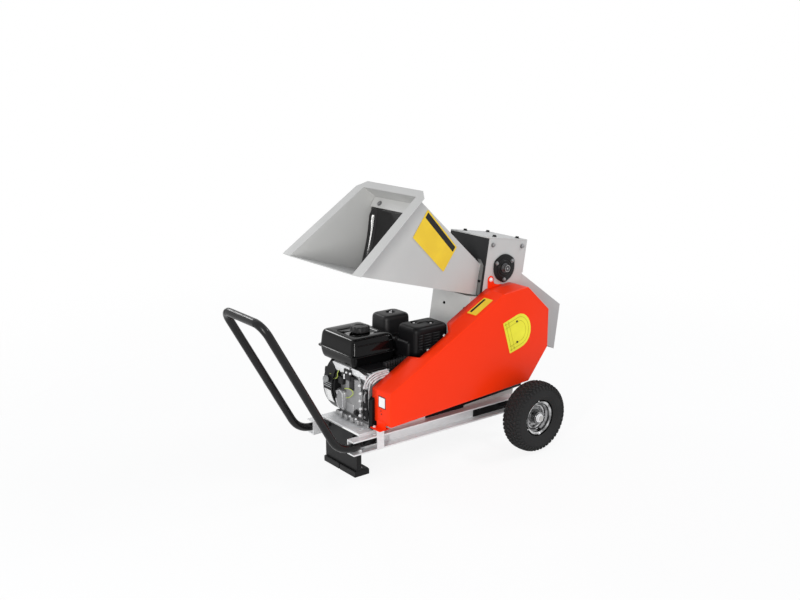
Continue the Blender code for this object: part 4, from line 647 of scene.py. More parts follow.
def makeRim(word, side):
    # one turned section, closed through the bore, with four bolts on each face and a valve stem
    centre = np.array((0.0, middle("rim_" + word)[1], tyre["radius"]))
    hub, roll = rim["hubHalf"], 0.0016
    edge = [(rim["lip"] - roll + roll * math.sin(a), rim["half"] - roll + roll * math.cos(a))
            for a in np.linspace(0, math.pi, 7)]
    dish = [(0.0575, 0.0284), (0.0556, 0.0262), (0.0546, 0.0226), (0.054, 0.018), (0.0525, 0.0158),
            (0.0485, 0.0146), (0.0462, 0.0125), (0.0452, 0.008), (0.044, 0.0058), (0.0415, 0.0048),
            (0.039, 0.0056), (0.037, 0.007), (0.03, 0.0074), (0.0272, 0.0066), (0.0256, 0.006),
            (0.0246, 0.0068), (0.024, 0.009), (0.0236, 0.013), (0.0234, hub - 0.0012),
            (0.0226, hub), (0.018, hub), (0.0172, hub - 0.0012), (0.011, hub - 0.0014), (0.0104, hub - 0.004)]
    barrel = [(rim["lip"] - 0.0004, 0.0294), (0.06, 0.029), (0.056, 0.0278), (0.0535, 0.026), (0.0532, 0.0165),
              (0.047, 0.01)]
    section = edge + dish
    whole = section + [(r, -h) for r, h in section[::-1] + barrel] + barrel[::-1]
    steps, count = rim["steps"], len(whole)
    points, faces = lathe(whole, steps, centre)
    for start in range(0, steps * count, count):
        after = (start + count) % (steps * count)
        faces.append([after, start, start + count - 1, after + count - 1])
    shapes = [(points, faces)]
    for angle in np.radians((45, 135, 225, 315)):
        for face in (side, -side):
            spot = centre + (rim["boltCircle"] * math.cos(angle), face * rim["boltSeat"],
                             rim["boltCircle"] * math.sin(angle))
            shapes.append(hexBolt(spot, (0, face, 0), 0.004, 0.0035, 0.0008))
    makePiece({"name": "rim_" + word + "_pressed", "slot": "chrome", "body": "wheel_" + word,
               "instead": ["rim_" + word], "angle": 40}, *shapes)
    away = np.array((math.sin(rim["valve"]), 0, math.cos(rim["valve"])))
    makePiece({"name": "valve_" + word, "slot": "black_rubber", "body": "wheel_" + word},
              lathe([(0, -0.001), (0.0048, -0.001), (0.0044, 0.004), (0.003, 0.007), (0.003, 0.0125),
                     (0.0026, 0.0135), (0, 0.0135)], 20, centre + (0, side * 0.015, 0) + 0.05 * away,
                    (0, side, 0) - 0.25 * away))


def makeAxleEnds():
    # a washer and a chamfered hexagon round each end of the axle
    shapes = []
    for side in (-1, 1):
        face = np.array((0.0, side * 0.3106, tyre["radius"]))
        shapes.append(lathe([(0.0102, 0), (0.0165, 0), (0.0165, 0.0018), (0.0102, 0.0018)], 32, face, (0, side, 0)))
        turned = np.arange(6) * math.tau / 6 + 0.2
        hexagon = np.stack([np.cos(turned), 0 * turned, np.sin(turned)], axis=1)
        rings = [face + (0, side * h, 0) + hexagon * r for r, h in
                 ((0.0148, 0.0018), (0.0148, 0.008), (0.0132, 0.0092), (0.0102, 0.0092))]
        shapes.append(skin(np.array(rings)))
    makePiece({"name": "axleNuts", "slot": "zinc_steel", "angle": 25}, *shapes)


for wheelWord, wheelSide in (("near", -1), ("far", 1)):
    makeTyre(wheelWord)
    makeRim(wheelWord, wheelSide)
makeAxleEnds()
print("stage: wheels")


# push handle
handle = {"reach": 1.0179, "top": 0.606, "tube": 0.014, "half": 0.125, "bend": 0.045, "flat": 0.006, "end": -0.575,
          "level": 0.127, "knee": -0.7465, "kneeBend": 0.055, "pressedFrom": -0.652, "flatSide": 0.1158,
          "press": 0.012}


def makeHandle():
    # half of the centre line: crossbar, quarter bend, slanted leg, knee as a parabola, pressed end; then mirrored
    top, knee = np.array((-handle["reach"], handle["top"])), np.array((handle["knee"], handle["level"]))
    down = (knee - top) / np.linalg.norm(knee - top)
    points = [(-handle["reach"], y, handle["top"]) for y in np.linspace(0, handle["half"] - handle["bend"], 5)]
    for angle in np.linspace(0, math.pi / 2, 12)[1:]:
        x, z = top + down * handle["bend"] * (1 - math.cos(angle))
        points.append((x, handle["half"] - handle["bend"] * (1 - math.sin(angle)), z))
    start, end = knee - down * handle["kneeBend"], knee + (handle["kneeBend"], 0)
    for share in np.linspace(0.2, 1, 5)[:-1]:
        x, z = (top + down * handle["bend"]) * (1 - share) + start * share
        points.append((x, handle["half"], z))
    for t in np.linspace(0, 1, 12):
        x, z = start * (1 - t) ** 2 + knee * 2 * t * (1 - t) + end * t ** 2
        points.append((x, handle["half"], z))
    points += [(handle["pressedFrom"] - 0.022, handle["half"] - 0.0005, handle["level"]),
               (handle["pressedFrom"] - 0.01, (handle["half"] + handle["flatSide"]) / 2, handle["level"]),
               (handle["pressedFrom"], handle["flatSide"], handle["level"]),
               (handle["end"] - 0.006, handle["flatSide"], handle["level"]),
               (handle["end"], handle["flatSide"], handle["level"])]
    pressed = np.array([1.0] * (len(points) - 4) + [0.85] + [handle["flat"] / handle["press"]] * 3)
    radius = np.array([handle["tube"]] * (len(points) - 4) + [0.013] + [handle["press"]] * 2 + [0.01])
    half = tubeRings(points, radius, 24, pressed)
    mirrored = half[:0:-1] * (1, -1, 1)
    makePiece({"name": "handle_tube", "slot": "black_paint", "finish": "handlePaint", "instead": ["handle"],
               "angle": 50}, skin(np.concatenate([mirrored, half])))


makeHandle()
print("stage: handle")


# fuel tank and its cap
tank = {"lower": 0.0445, "upper": 0.06, "corner": 0.022,
        "recess": (-0.592, -0.477, 0.012, 0.114), "recessDepth": 0.0032, "cap": (-0.529, 0.055), "neck": 0.0196}


def makeTank():
    # rings of round-cornered rectangles from the floor over the seam lip and shoulder to the sunk panel and neck
    left, near, floor = low("fuel_tank")
    right, far, _ = high("fuel_tank")
    seam, top = floor + tank["lower"], floor + tank["lower"] + tank["upper"]
    rows = [(0.025, floor), (0.0205, floor + 0.0008), (0.016, floor + 0.004), (0.0128, floor + 0.01),
            (0.0102, floor + 0.02), (0.0084, floor + 0.03), (0.0072, seam - 0.0048), (0.0064, seam - 0.0034),
            (0.0008, seam - 0.003), (0.0, seam - 0.0022), (0.0, seam + 0.0002), (0.0008, seam + 0.001),
            (0.006, seam + 0.0012), (0.0068, seam + 0.0024), (0.0082, seam + 0.012), (0.0104, top - 0.024),
            (0.0118, top - 0.016), (0.0138, top - 0.01), (0.0168, top - 0.0058), (0.0216, top - 0.0028),
            (0.028, top - 0.0012), (0.034, top - 0.0004)]
    rings = wallRings(rows, (left, right, near, far), tank["corner"], 0.35, 0.006, ringPoints)
    deep = top - tank["recessDepth"]
    rings += wallRings([(-0.001, top), (0.0, top - 0.0004), (0.0012, deep + 0.0006), (0.0024, deep)],
                       tank["recess"], 0.012, 1.0, 0.0, ringPoints)
    neck = tank["neck"]
    rings += roundRings([(neck + 0.0015, deep), (neck, deep + 0.001), (neck, top + 0.0038),
                         (neck - 0.002, top + 0.0038), (neck - 0.002, top - 0.004)], *tank["cap"], ringPoints)
    makePiece({"name": "fuel_tank_shell", "slot": "gloss_black", "instead": ["fuel_tank"], "angle": 50},
              skin(np.array(rings)))
    beads = [sweep([(x, near + level[0], seam + level[1]) for x in np.linspace(left + 0.026, right - 0.02, 12)],
                   0.0022, 12) for level in ((0.0108, 0.036), (0.0006, -0.001))]
    makePiece({"name": "tankBeads", "slot": "gloss_black", "angle": 50}, *beads)
    screw = np.array((-0.4398, near + 0.0055, seam + 0.04))
    makePiece({"name": "tankScrew", "slot": "black_paint"},
              lathe([(0, 0), (0.0082, 0), (0.0082, 0.0008), (0.0074, 0.0014), (0.006, 0.0014), (0.0052, 0.0004),
                     (0, 0.0004)], 32, screw, (0, -1, 0.08)), hexBolt(screw, (0, -1, 0.08), 0.0034, 0.0028, 0.0006))


def makeFuelCap():
    # a turned cap with scallops round its side, a sunk top and a bore that clears the neck
    x, y, seat = *middle("fuel_cap")[:2], low("fuel_cap")[2]
    height = high("fuel_cap")[2] - seat
    radius = (high("fuel_cap")[0] - low("fuel_cap")[0]) / 2
    inside = tank["neck"] + 0.0014
    profile = [(0.0005, 0.005), (inside, 0.005), (inside, 0), (radius - 0.0008, 0), (radius, 0.0008),
               (radius, 0.003), (radius - 0.0008, 0.0038), (radius - 0.0008, height - 0.0045),
               (radius - 0.0016, height - 0.0022), (radius - 0.0036, height - 0.0006), (radius - 0.006, height),
               (0.0205, height), (0.0195, height - 0.001), (0.0185, height - 0.0018), (0.012, height - 0.0018),
               (0.008, height - 0.0014), (0.0005, height - 0.0012)]
    depth = [0] * 6 + [0.0002, 0.0034, 0.0034, 0.003, 0.0018] + [0] * 6
    steps, count = 168, len(profile)
    points, faces = lathe(profile, steps, (x, y, seat), (0, 0, 1), lobes=(14, depth, 0.45))
    faces += [[k * count + last for k in range(steps)] for last in (0, count - 1)]
    makePiece({"name": "fuel_cap_scalloped", "slot": "black_plastic", "body": "fuel_cap", "instead": ["fuel_cap"],
               "angle": 40}, (points, faces))


makeTank()
makeFuelCap()
print("stage: fuel tank")


# air cleaner
def makeCleaner():
    # rings from the skirt over the shoulder to a round sunk seat for the wing nut
    left, near, floor = low("air_cleaner_cover")
    right, far, top = high("air_cleaner_cover")
    x, y = (left + right) / 2, (near + far) / 2
    rows = [(0.0, floor), (0.0, floor + 0.0085), (0.0008, floor + 0.0095), (0.003, floor + 0.0105),
            (0.0036, floor + 0.012), (0.0048, top - 0.018), (0.0056, top - 0.012), (0.0076, top - 0.0068),
            (0.0112, top - 0.0034), (0.016, top - 0.0016), (0.021, top - 0.001)]
    rings = wallRings(rows, (left, right, near, far), 0.021, 0.3, 0.01, ringPoints)
    rings += roundRings([(0.0215, top - 0.0001), (0.0195, top), (0.018, top - 0.0008), (0.0165, top - 0.004),
                         (0.015, top - 0.0075), (0.0125, top - 0.0088), (0.002, top - 0.009)], x, y, ringPoints)
    rings = np.array(rings)
    groove = np.cos(np.clip((rings[:, :, 0] - left - 0.01) / 0.006, 0, 4) * math.tau)
    wall = ((rings[:, :, 2] > floor + 0.013) & (rings[:, :, 2] < top - 0.01) & (rings[:, :, 1] < near + 0.02))
    rings[:, :, 1] += np.where(wall, 0.0004 * (1 - groove), 0)  # four shallow flutes near the left corner
    makePiece({"name": "air_cleaner_lid", "slot": "black_plastic", "instead": ["air_cleaner_cover"], "angle": 50},
              skin(rings))
    hub = lathe([(0, 0), (0.0062, 0), (0.0052, 0.006), (0.004, 0.007), (0, 0.007)], 28, (x, y, top - 0.009),
                (0, 0, 1))
    wings = [softBox((x + side * 0.007, y + side * 0.0045, top - 0.002), (0.0095, 0.0026, 0.0105), 0.0013, 3,
                     [[0.84, 0.54, 0.1 * side], [-0.54, 0.84, 0], [-0.1 * side, 0, 1]]) for side in (-1, 1)]
    makePiece({"name": "wingNut", "slot": "zinc_steel"}, hub, *wings)
    clips = [softBox((spot, edge, floor + 0.0005), (0.012, 0.0035, 0.013), 0.0014, 3)
             for edge in (near, far) for spot in (left + 0.02, right - 0.02)]
    makePiece({"name": "cleanerClips", "slot": "black_plastic"}, *clips)


makeCleaner()
print("stage: air cleaner")


# muffler guard
guard = {"sheet": 0.0015, "corner": 0.022, "dimples": [(-0.3638, -0.04), (-0.3187, -0.0786)],
         "dimpleRadius": 0.0165, "dimpleDepth": 0.0055, "points": 208,
         "columns": [(-0.406, -0.387), (-0.381, -0.349), (-0.343, -0.311)], "rows": 6}


def makeGuard():
    # rings up the walls and inwards over the top, whose points sink by a smooth bowl round each bolt
    left, near, floor = low("muffler_guard")
    right, far, top = high("muffler_guard")
    back = far + 0.02
    rows = [(0.0, floor), (0.0002, floor + 0.02), (0.0006, floor + 0.045), (0.001, top - 0.02),
            (0.0014, top - 0.0135), (0.0026, top - 0.0085), (0.005, top - 0.0045), (0.0085, top - 0.0018),
            (0.013, top - 0.0003)]
    rows += [(draw, top) for draw in np.linspace(0.017, 0.059, 22)]
    rings = np.array(wallRings(rows, (left, right, near, back), guard["corner"], 0.25, 0.002, guard["points"]))
    for x, y in guard["dimples"]:
        away = np.hypot(rings[:, :, 0] - x, rings[:, :, 1] - y) / guard["dimpleRadius"]
        share = np.clip(1.25 - away * 1.25, 0, 1)
        sink = np.where(rings[:, :, 2] > top - 0.012, share ** 2 * (3 - 2 * share), 0)
        rings[:, :, 2] -= sink * guard["dimpleDepth"]
    shell = makePiece({"name": "muffler_guard_pressed", "slot": "black_paint", "finish": "guardBlack",
                       "instead": ["muffler_guard"], "angle": 45}, bowl(rings))
    thicken(shell, guard["sheet"])
    boxes, hoods = [], []
    for row in range(guard["rows"]):
        level = floor + 0.0285 + row * 0.0098
        for start, end in guard["columns"]:
            boxes.append(softBox(((start + end) / 2, near, level), (end - start, 0.03, 0.004), 0.0015, 3))
            s, t = np.meshgrid(np.linspace(0, 1, 17), np.linspace(0, 1, 7), indexing="ij")
            x = start - 0.001 + (end - start + 0.002) * s
            y = near + 0.0008 - 0.0032 * np.sin(math.pi * s) ** 0.4 * np.sin(math.pi * t * 0.5 + 0.05)
            z = level + 0.0042 - 0.0048 * t
            hoods.append((np.stack([x, y, z], axis=2).reshape(-1, 3), gridFaces(17, 7)))
    boxes.append(softBox(((left + right) / 2, back + 0.0095, (floor + top) / 2), (right - left + 0.02, 0.06, 0.2),
                         0.0005, 1))  # takes off the far wall
    cutter = makePiece({"name": "guardCutter", "slot": "black_paint"}, *boxes)
    cut = shell.modifiers.new("louvres", "BOOLEAN")
    cut.object = cutter
    graph = bpy.context.evaluated_depsgraph_get()
    finished = bpy.data.meshes.new_from_object(shell.evaluated_get(graph))
    shell.modifiers.clear()
    shell.data = finished
    bpy.data.objects.remove(cutter)
    hood = makePiece({"name": "guardLouvres", "slot": "black_paint", "finish": "guardBlack", "angle": 60}, *hoods)
    thicken(hood, 0.0008)
    bolts = [hexBolt((x, y, top - guard["dimpleDepth"] - 0.0005), (0, 0, 1), 0.0042, 0.0036, 0.001)
             for x, y in guard["dimples"]]
    for x, lift, z in ((-0.293, 0.0004, 0.4474), (-0.3656, 0.0002, 0.408)):
        bolts.append(hexBolt((x, near + lift, z), (0, -1, 0), 0.004, 0.0034, 0.001))
    makePiece({"name": "guardBolts", "slot": "zinc_steel", "angle": 30}, *bolts)


makeGuard()
print("stage: muffler guard")


# belt cover
cover = {"face": 0.2054, "back": 0.1043, "sheet": 0.002, "edge": 0.003, "corner": 0.006,
         "outline": [(-0.592, 0.197), (-0.592, 0.314), (-0.085, 0.581), (0.032, 0.59), (0.139, 0.492),
                     (0.139, 0.349), (0.046, 0.233)],
         "notch": (-0.4345, -0.266, 0.1545, 0.34), "slant": 0.036, "step": 0.012}


def makeCover():
    # the outline sampled every few millimetres; rows go from the open back over a round edge to the flat face
    first, last, reach, bottom = cover["notch"]
    corners = roundOff(cover["outline"], cover["corner"], 5)
    closed = np.vstack([corners, corners[:1]])
    points = [closed[0]]
    for a, b in zip(closed, closed[1:]):
        steps = max(1, int(np.linalg.norm(b - a) / cover["step"]))
        stops = list(np.linspace(0, 1, steps + 1)[1:])
        for x in (first, last, last - cover["slant"]):
            if (a[0] - x) * (b[0] - x) < 0 and min(a[1], b[1]) > bottom:
                share = (x - a[0]) / (b[0] - a[0])
                stops += [share - 0.0004, share + 0.0004]
        points += [a + (b - a) * t for t in sorted(stops)]
    ring = np.array(points[:-1])
    inNotch = (ring[:, 0] > first) & (ring[:, 0] < last) & (ring[:, 1] > bottom)
    slant = np.clip((last - ring[:, 0]) / cover["slant"], 0, 1)
    depth = np.where(inNotch, cover["back"] + (reach - cover["back"]) * slant, cover["back"])
    edge = cover["edge"]
    plane = cover["face"] - edge

    def upright(outline, y):
        return np.stack([outline[:, 0], np.broadcast_to(y, len(outline)), outline[:, 1]], axis=1)

    rings = [upright(ring, -plane + (plane - depth) * share) for share in (1.0, 0.66, 0.33, 0.0)]
    for angle in np.linspace(0, math.pi / 2, 5)[1:]:
        rings.append(upright(inset(ring, edge * (1 - math.cos(angle))), -plane - edge * math.sin(angle)))
    pan = makePiece({"name": "belt_cover_pan", "slot": "red_paint", "instead": ["belt_cover"], "angle": 35},
                    bowl(rings))
    thicken(pan, cover["sheet"])
    back = -cover["back"] - 0.0002
    wide, angle = 0.0135, np.linspace(0, math.pi, 14)
    upper = [(-0.0626 + wide * math.cos(a), 0.6125 + wide * math.sin(a)) for a in angle]
    upper += [(-0.0761, 0.5805), (-0.008, 0.585), (-0.01, 0.5885), (-0.03, 0.5905), (-0.043, 0.5945),
              (-0.0485, 0.601)]
    lower = [(-0.105 - wide * math.cos(a), 0.2 - wide * math.sin(a)) for a in angle]
    lower += [(-0.0915, 0.23), (-0.1185, 0.23)]
    lugs = [prism(outline, back - cover["sheet"], back, "y", 0.0004) for outline in (upper, lower)]
    makePiece({"name": "coverLugs", "slot": "red_paint"}, *lugs)


makeCover()
print("stage: belt cover")


# engine
engine = {"crank": (-0.515, 0.2713), "face": -0.605, "plate": 0.1653, "roof": 0.36,
          "bosses": [(0.205, -0.061), (0.23, -0.064), (0.258, -0.0625), (0.285, -0.064), (0.312, -0.06),
                     (0.335, -0.056)]}


def inPlane(x, points):
    # y and z pairs as points on a plane across the machine
    return [(x, y, z) for y, z in points]


def makeCastings():
    # a round back plate, a raised pad, a bulged corner with two upright ribs, and flanges with bosses
    cx, cz = engine["crank"]
    angle = np.arange(96) * math.tau / 96
    base, roof = engine["plate"], engine["roof"]

    def flatRound(reach, under, over):
        # a round outline cut off level above the plate and below the tank
        return np.stack([cx + reach * np.cos(angle), np.clip(cz + reach * np.sin(angle), base + under, roof + over)],
                        axis=1)

    makePiece({"name": "fanBackPlate", "slot": "black_paint", "angle": 40},
              prism(flatRound(0.1145, 0.004, -0.002), 0.0705, 0.0797, "y", 0.0015))
    face = engine["face"]
    cast = [softBox((face - 0.001, -0.015, 0.26), (0.01, 0.083, 0.13), 0.0045, 4),
            softBox((face - 0.002, 0.001, 0.215), (0.016, 0.05, 0.038), 0.007, 4),
            softBox((face - 0.004, 0.05, 0.233), (0.026, 0.056, 0.072), 0.012, 5),
            softBox((face + 0.002, 0.01, 0.176), (0.02, 0.16, 0.015), 0.004, 4)]
    arcs = []
    for radius, x, line in (
            (0.0032, -0.6135, [(0.08, 0.262), (0.0805, 0.24), (0.074, 0.218), (0.058, 0.2)]),
            (0.0026, -0.6205, [(0.07, 0.262), (0.074, 0.244), (0.07, 0.222), (0.056, 0.202)]),
            (0.0028, -0.6225, [(0.064, 0.252), (0.06, 0.262), (0.05, 0.2665), (0.038, 0.2655),
                               (0.031, 0.258), (0.029, 0.24), (0.0285, 0.218), (0.026, 0.204)])):
        arcs.append(sweep(curve(inPlane(x, line), 6), radius, 12, (1, 0, 0)))
    # the arcs take the paler aluminium, a painted highlight
    makePiece({"name": "caseArcs", "slot": "cast_aluminium", "finish": "ribHighlightCast", "angle": 50}, *arcs)
    for y, wide in ((-0.07, 0.007), (-0.083, 0.005)):
        cast.append(prism(flatRound(0.0925 + 0.004 * np.cos(8 * angle), 0.003, 0.002), y, y + wide, "y", 0.0012))
    for level, y in engine["bosses"]:
        cast.append(lathe([(0, 0), (0.0072, 0), (0.0066, 0.008), (0.0055, 0.009), (0, 0.009)], 24,
                          (face + 0.001, y, level), (-1, 0, 0)))
        cast.append(softBox((face - 0.001, y + 0.01, level + 0.002), (0.009, 0.014, 0.0045), 0.0018, 3))
    for y in (-0.052, -0.018, 0.016, 0.048):
        cast.append(softBox((face - 0.006, y, 0.1775), (0.022, 0.015, 0.018), 0.0045, 4))
    for y, foot, radius in ((-0.056, 0.196, 0.0034), (0.0265, 0.272, 0.003)):
        cast.append(sweep([(face - 0.002, y, z) for z in np.linspace(foot, 0.33, 4)], radius, 12))
    makePiece({"name": "caseCastings", "slot": "cast_aluminium", "angle": 40}, *cast)
    bolts = []
    for level, y in engine["bosses"][:-1]:
        bolts.append(hexBolt((face - 0.008, y, level), (-1, 0, 0), 0.0038, 0.004, 0.0008))
    for y in (-0.044, -0.008, 0.044):
        bolts.append(hexBolt((face - 0.0135, y, 0.1866), (0, 0, 1), 0.004, 0.004, 0.0008))
    makePiece({"name": "caseBolts", "slot": "zinc_steel", "angle": 30}, *bolts)


def makeRibsAndShroud():
    # bright uneven ribs over the near shoulder of the case, each a line whose radius swells and shrinks; the
    # shroud's blocks behind them, two of them dark sheets that are partly painted shade, and a row of fins
    first = [(-0.609, -0.08, 0.3057), (-0.6067, -0.087, 0.3302), (-0.5949, -0.094, 0.3492),
             (-0.571, -0.0985, 0.3597), (-0.527, -0.099, 0.3617)]
    ribs = []
    for k, radius in enumerate((0.004, 0.0036, 0.0042, 0.0036)):
        line = curve([(x + 0.0066 * k, y - 0.0006 * k, z - 0.0071 * k) for x, y, z in first], 8)
        swell = 1 + 0.14 * np.sin(np.arange(len(line)) * 0.8 + k * 2)
        ribs.append(sweep(line, radius * swell, 14))
    for k in range(3):
        ribs.append(softBox((-0.598 + 0.015 * k, -0.076 + 0.003 * math.sin(k * 1.7), 0.346 + 0.0045 * k),
                            (0.0085, 0.016, 0.009), 0.003, 3))
    # the ribs take the paler aluminium, a painted highlight
    makePiece({"name": "caseRibs", "slot": "cast_aluminium", "finish": "ribHighlightCast", "angle": 50}, *ribs)
    # the flat sheet over the case roof and the thin plate on the case's near wall stand partly for the black shroud
    # and partly for painted shade under the tank
    shroud = [softBox((-0.387, -0.025, 0.402), (0.078, 0.13, 0.07), 0.012, 5),
              softBox((-0.402, -0.062, 0.37), (0.07, 0.048, 0.024), 0.006, 4),
              softBox((-0.503, -0.004, 0.364), (0.19, 0.168, 0.008), 0.002, 3),
              softBox((-0.46, -0.098, 0.348), (0.108, 0.003, 0.038), 0.0012, 3)]
    makePiece({"name": "cylinderShroud", "slot": "black_plastic", "finish": "guardBlack", "angle": 40}, *shroud)
    fins = [softBox((-0.518 + 0.011 * k, -0.078, 0.374 + 0.0006 * k), (0.0018, 0.02, 0.015), 0.0008, 2)
            for k in range(11)]
    makePiece({"name": "shroudFins", "slot": "cast_iron", "angle": 40}, *fins)


def makeCoverBackAndShadowStrip():
    # a dark plate between the case and the cover, partly a closing plate and partly painted shade on the case's near
    # side, one between case front and cover, and a dark strip over the rail that is painted shadow under the cover's
    # edge
    side = [(-0.6035, 0.17), (-0.45, 0.17), (-0.45, 0.286), (-0.585, 0.286), (-0.6035, 0.272)]
    front = [(-0.096, 0.19), (-0.068, 0.19), (-0.068, 0.298), (-0.074, 0.304), (-0.096, 0.304)]
    # painted shadow: a black strip along the cover's bottom edge, where the cover's shadow falls
    shadowStrip = [(-0.59, 0.1655), (-0.372, 0.1655), (-0.372, 0.1534), (-0.19, 0.1534), (-0.188, 0.1622),
            (0.1, 0.178), (0.1, 0.22), (-0.372, 0.2), (-0.59, 0.2)]
    studs = [button((-0.606, y, z), (-1, 0, 0), 0.0046, 0.004, 0.003, 0.0034, 16)
             for y, z in ((-0.08, 0.202), (-0.086, 0.234), (-0.079, 0.264), (-0.087, 0.293))]
    makePiece({"name": "coverBack", "slot": "black_paint", "finish": "guardBlack", "angle": 40},
              prism(side, -0.118, -0.0975, "y", 0.0015), prism(front, -0.6062, -0.6045, "x", 0.0004),
              prism(shadowStrip, -0.112, -0.11, "y", 0.0005))
    makePiece({"name": "coverBackStuds", "slot": "bare_steel", "finish": "dimSteel", "angle": 30}, *studs)


def makeFoot():
    # a flat foot with a thin upright tab against the cover and two low screws
    foot = [softBox((-0.598, -0.155, 0.1844), (0.044, 0.054, 0.002), 0.0006, 2),
            prism([(-0.18, 0.1834), (-0.13, 0.1834), (-0.13, 0.206), (-0.134, 0.21), (-0.176, 0.21),
                   (-0.18, 0.206)], -0.5932, -0.5921, "x", 0.0003)]
    makePiece({"name": "footPlate", "slot": "red_paint", "instead": ["cover_foot"], "angle": 30}, *foot)
    makePiece({"name": "footScrews", "slot": "black_paint", "angle": 30},
              *[button((-0.5921, y, z), (-1, 0, 0), 0.0024, 0.0018, 0.0012, 0.0014, 16)
                for y, z in ((-0.156, 0.233), (-0.153, 0.244))])


def makeRecoilDome():
    # a turned dome with raised ribs from its rim to its middle
    x, z = engine["crank"]
    profile = [(0, 0.037), (0.03, 0.037), (0.048, 0.0362), (0.062, 0.033), (0.072, 0.027), (0.078, 0.018),
               (0.081, 0.008), (0.0828, 0.0), (0, 0.0)]
    shapes = [lathe(profile[::-1], 72, (x, 0.1349, z), (0, 1, 0))]
    for k in range(16):
        angle = k * math.tau / 16
        line = [(x + r * math.cos(angle), 0.1349 + h, z + r * math.sin(angle)) for r, h in
                ((0.028, 0.0362), (0.047, 0.0356), (0.06, 0.0326), (0.0695, 0.0272))]
        shapes.append(sweep(curve(line, 5), 0.0012, 8))
    makePiece({"name": "recoilDome", "slot": "black_paint", "instead": ["recoil_cover"], "angle": 40}, *shapes)


def makeBrackets():
    # two folded bright plates under the tank, the outer one cut in steps
    steps = [(0.0, 0.344), (0.018, 0.34), (0.035, 0.3352), (0.052, 0.3318), (0.06, 0.3368),
             (0.07, 0.333), (0.079, 0.334), (0.085, 0.34), (0.09, 0.347), (0.101, 0.356),
             (0.101, 0.3602), (0.0, 0.3602)]
    plate = prism(steps, -0.6135, -0.6115, "x", 0.0004)
    flange = softBox((-0.601, 0.05, 0.3596), (0.024, 0.1, 0.0016), 0.0006, 2)
    second = prism([(-0.09, 0.337), (-0.004, 0.339), (-0.001, 0.356), (-0.012, 0.3602), (-0.05, 0.3602),
                    (-0.09, 0.352)], -0.6095, -0.607, "x", 0.0005)
    makePiece({"name": "tankBrackets", "slot": "zinc_steel", "angle": 30}, plate, flange, second,
              button((-0.6095, -0.03, 0.348), (-1, 0, 0), 0.005, 0.0045, 0.003, 0.003),
              button((-0.6095, -0.065, 0.346), (-1, 0, 0), 0.004, 0.0035, 0.002, 0.002))


def makeAlert():
    # a flat box with rounded edges on a bent black bracket, and two thin leads
    makePiece({"name": "alertBox", "slot": "black_plastic", "instead": ["alert_unit"], "angle": 40},
              softBox((-0.613, 0.048, 0.303), (0.014, 0.03, 0.026), 0.003, 4),
              softBox((-0.612, 0.009, 0.333), (0.012, 0.04, 0.04), 0.003, 4),
              softBox((-0.611, -0.012, 0.308), (0.008, 0.026, 0.048), 0.002, 3))
    makePiece({"name": "alertScrews", "slot": "zinc_steel", "angle": 30},
              button((-0.618, 0.01, 0.342), (-1, 0, 0), 0.0042, 0.0034, 0.003, 0.0034),
              softBox((-0.6185, 0.024, 0.324), (0.004, 0.006, 0.018), 0.0015, 3),
              button((-0.615, -0.009, 0.342), (-1, 0, 0), 0.0046, 0.004, 0.0034, 0.0038))
    leads = [inPlane(-0.623, [(0.1085, 0.3105), (0.1, 0.315), (0.092, 0.303), (0.084, 0.301),
                               (0.07, 0.306), (0.06, 0.314), (0.058, 0.328), (0.051, 0.34)]),
             inPlane(-0.617, [(0.024, 0.279), (0.014, 0.283), (-0.005, 0.286), (-0.023, 0.283),
                               (-0.026, 0.274), (-0.016, 0.264), (-0.002, 0.2545), (0.014, 0.249)])]
    makePiece({"name": "alertLeads", "slot": "wire_yellow", "angle": 60},
              *[sweep(curve(line, 6), 0.0017, 10, (1, 0, 0)) for line in leads])


def makeFanCoverTrim():
    # three cooling slots, a round switch with a bar across it, and a bare plate bent round the shroud
    x, z = engine["crank"]
    strips = [softBox((-0.6225 - 0.001 * k, 0.108, 0.284 - 0.007 * k), (0.02, 0.044, 0.0028), 0.001, 3)
              for k in range(3)]
    makePiece({"name": "shroudSlots", "slot": "grey_plastic", "angle": 40}, *strips)
    makePiece({"name": "switchKnob", "slot": "grey_plastic", "body": "engine_switch", "instead": ["engine_switch"],
               "angle": 40},
              lathe([(0, 0), (0.0118, 0), (0.012, 0.001), (0.012, 0.006), (0.011, 0.0074), (0.0085, 0.008),
                     (0.008, 0.012), (0.007, 0.013), (0, 0.013)], 40, (-0.634, 0.11, 0.297), (-1, 0, 0)),
              softBox((-0.6455, 0.11, 0.297), (0.007, 0.0052, 0.021), 0.0016, 3))
    angle = np.linspace(math.radians(186), math.radians(211), 12)
    grid = np.stack([np.stack([x + 0.119 * np.cos(angle), np.full(12, y), z + 0.119 * np.sin(angle)], axis=1)
                     for y in (0.086, 0.127)], axis=1)
    plate = makePiece({"name": "shroudPlate", "slot": "grey_plastic", "finish": "labelWhite"},
                      (grid.reshape(-1, 3), gridFaces(12, 2)))
    thicken(plate, 0.0006, 1 if plate.data.polygons[0].normal.x < 0 else -1)


makeCastings()
makeRibsAndShroud()
makeCoverBackAndShadowStrip()
makeFoot()
makeRecoilDome()
makeBrackets()
makeAlert()
makeFanCoverTrim()


grip = {"middle": (-0.6, 0.158, 0.3055), "radius": 0.006, "end": 0.0048}


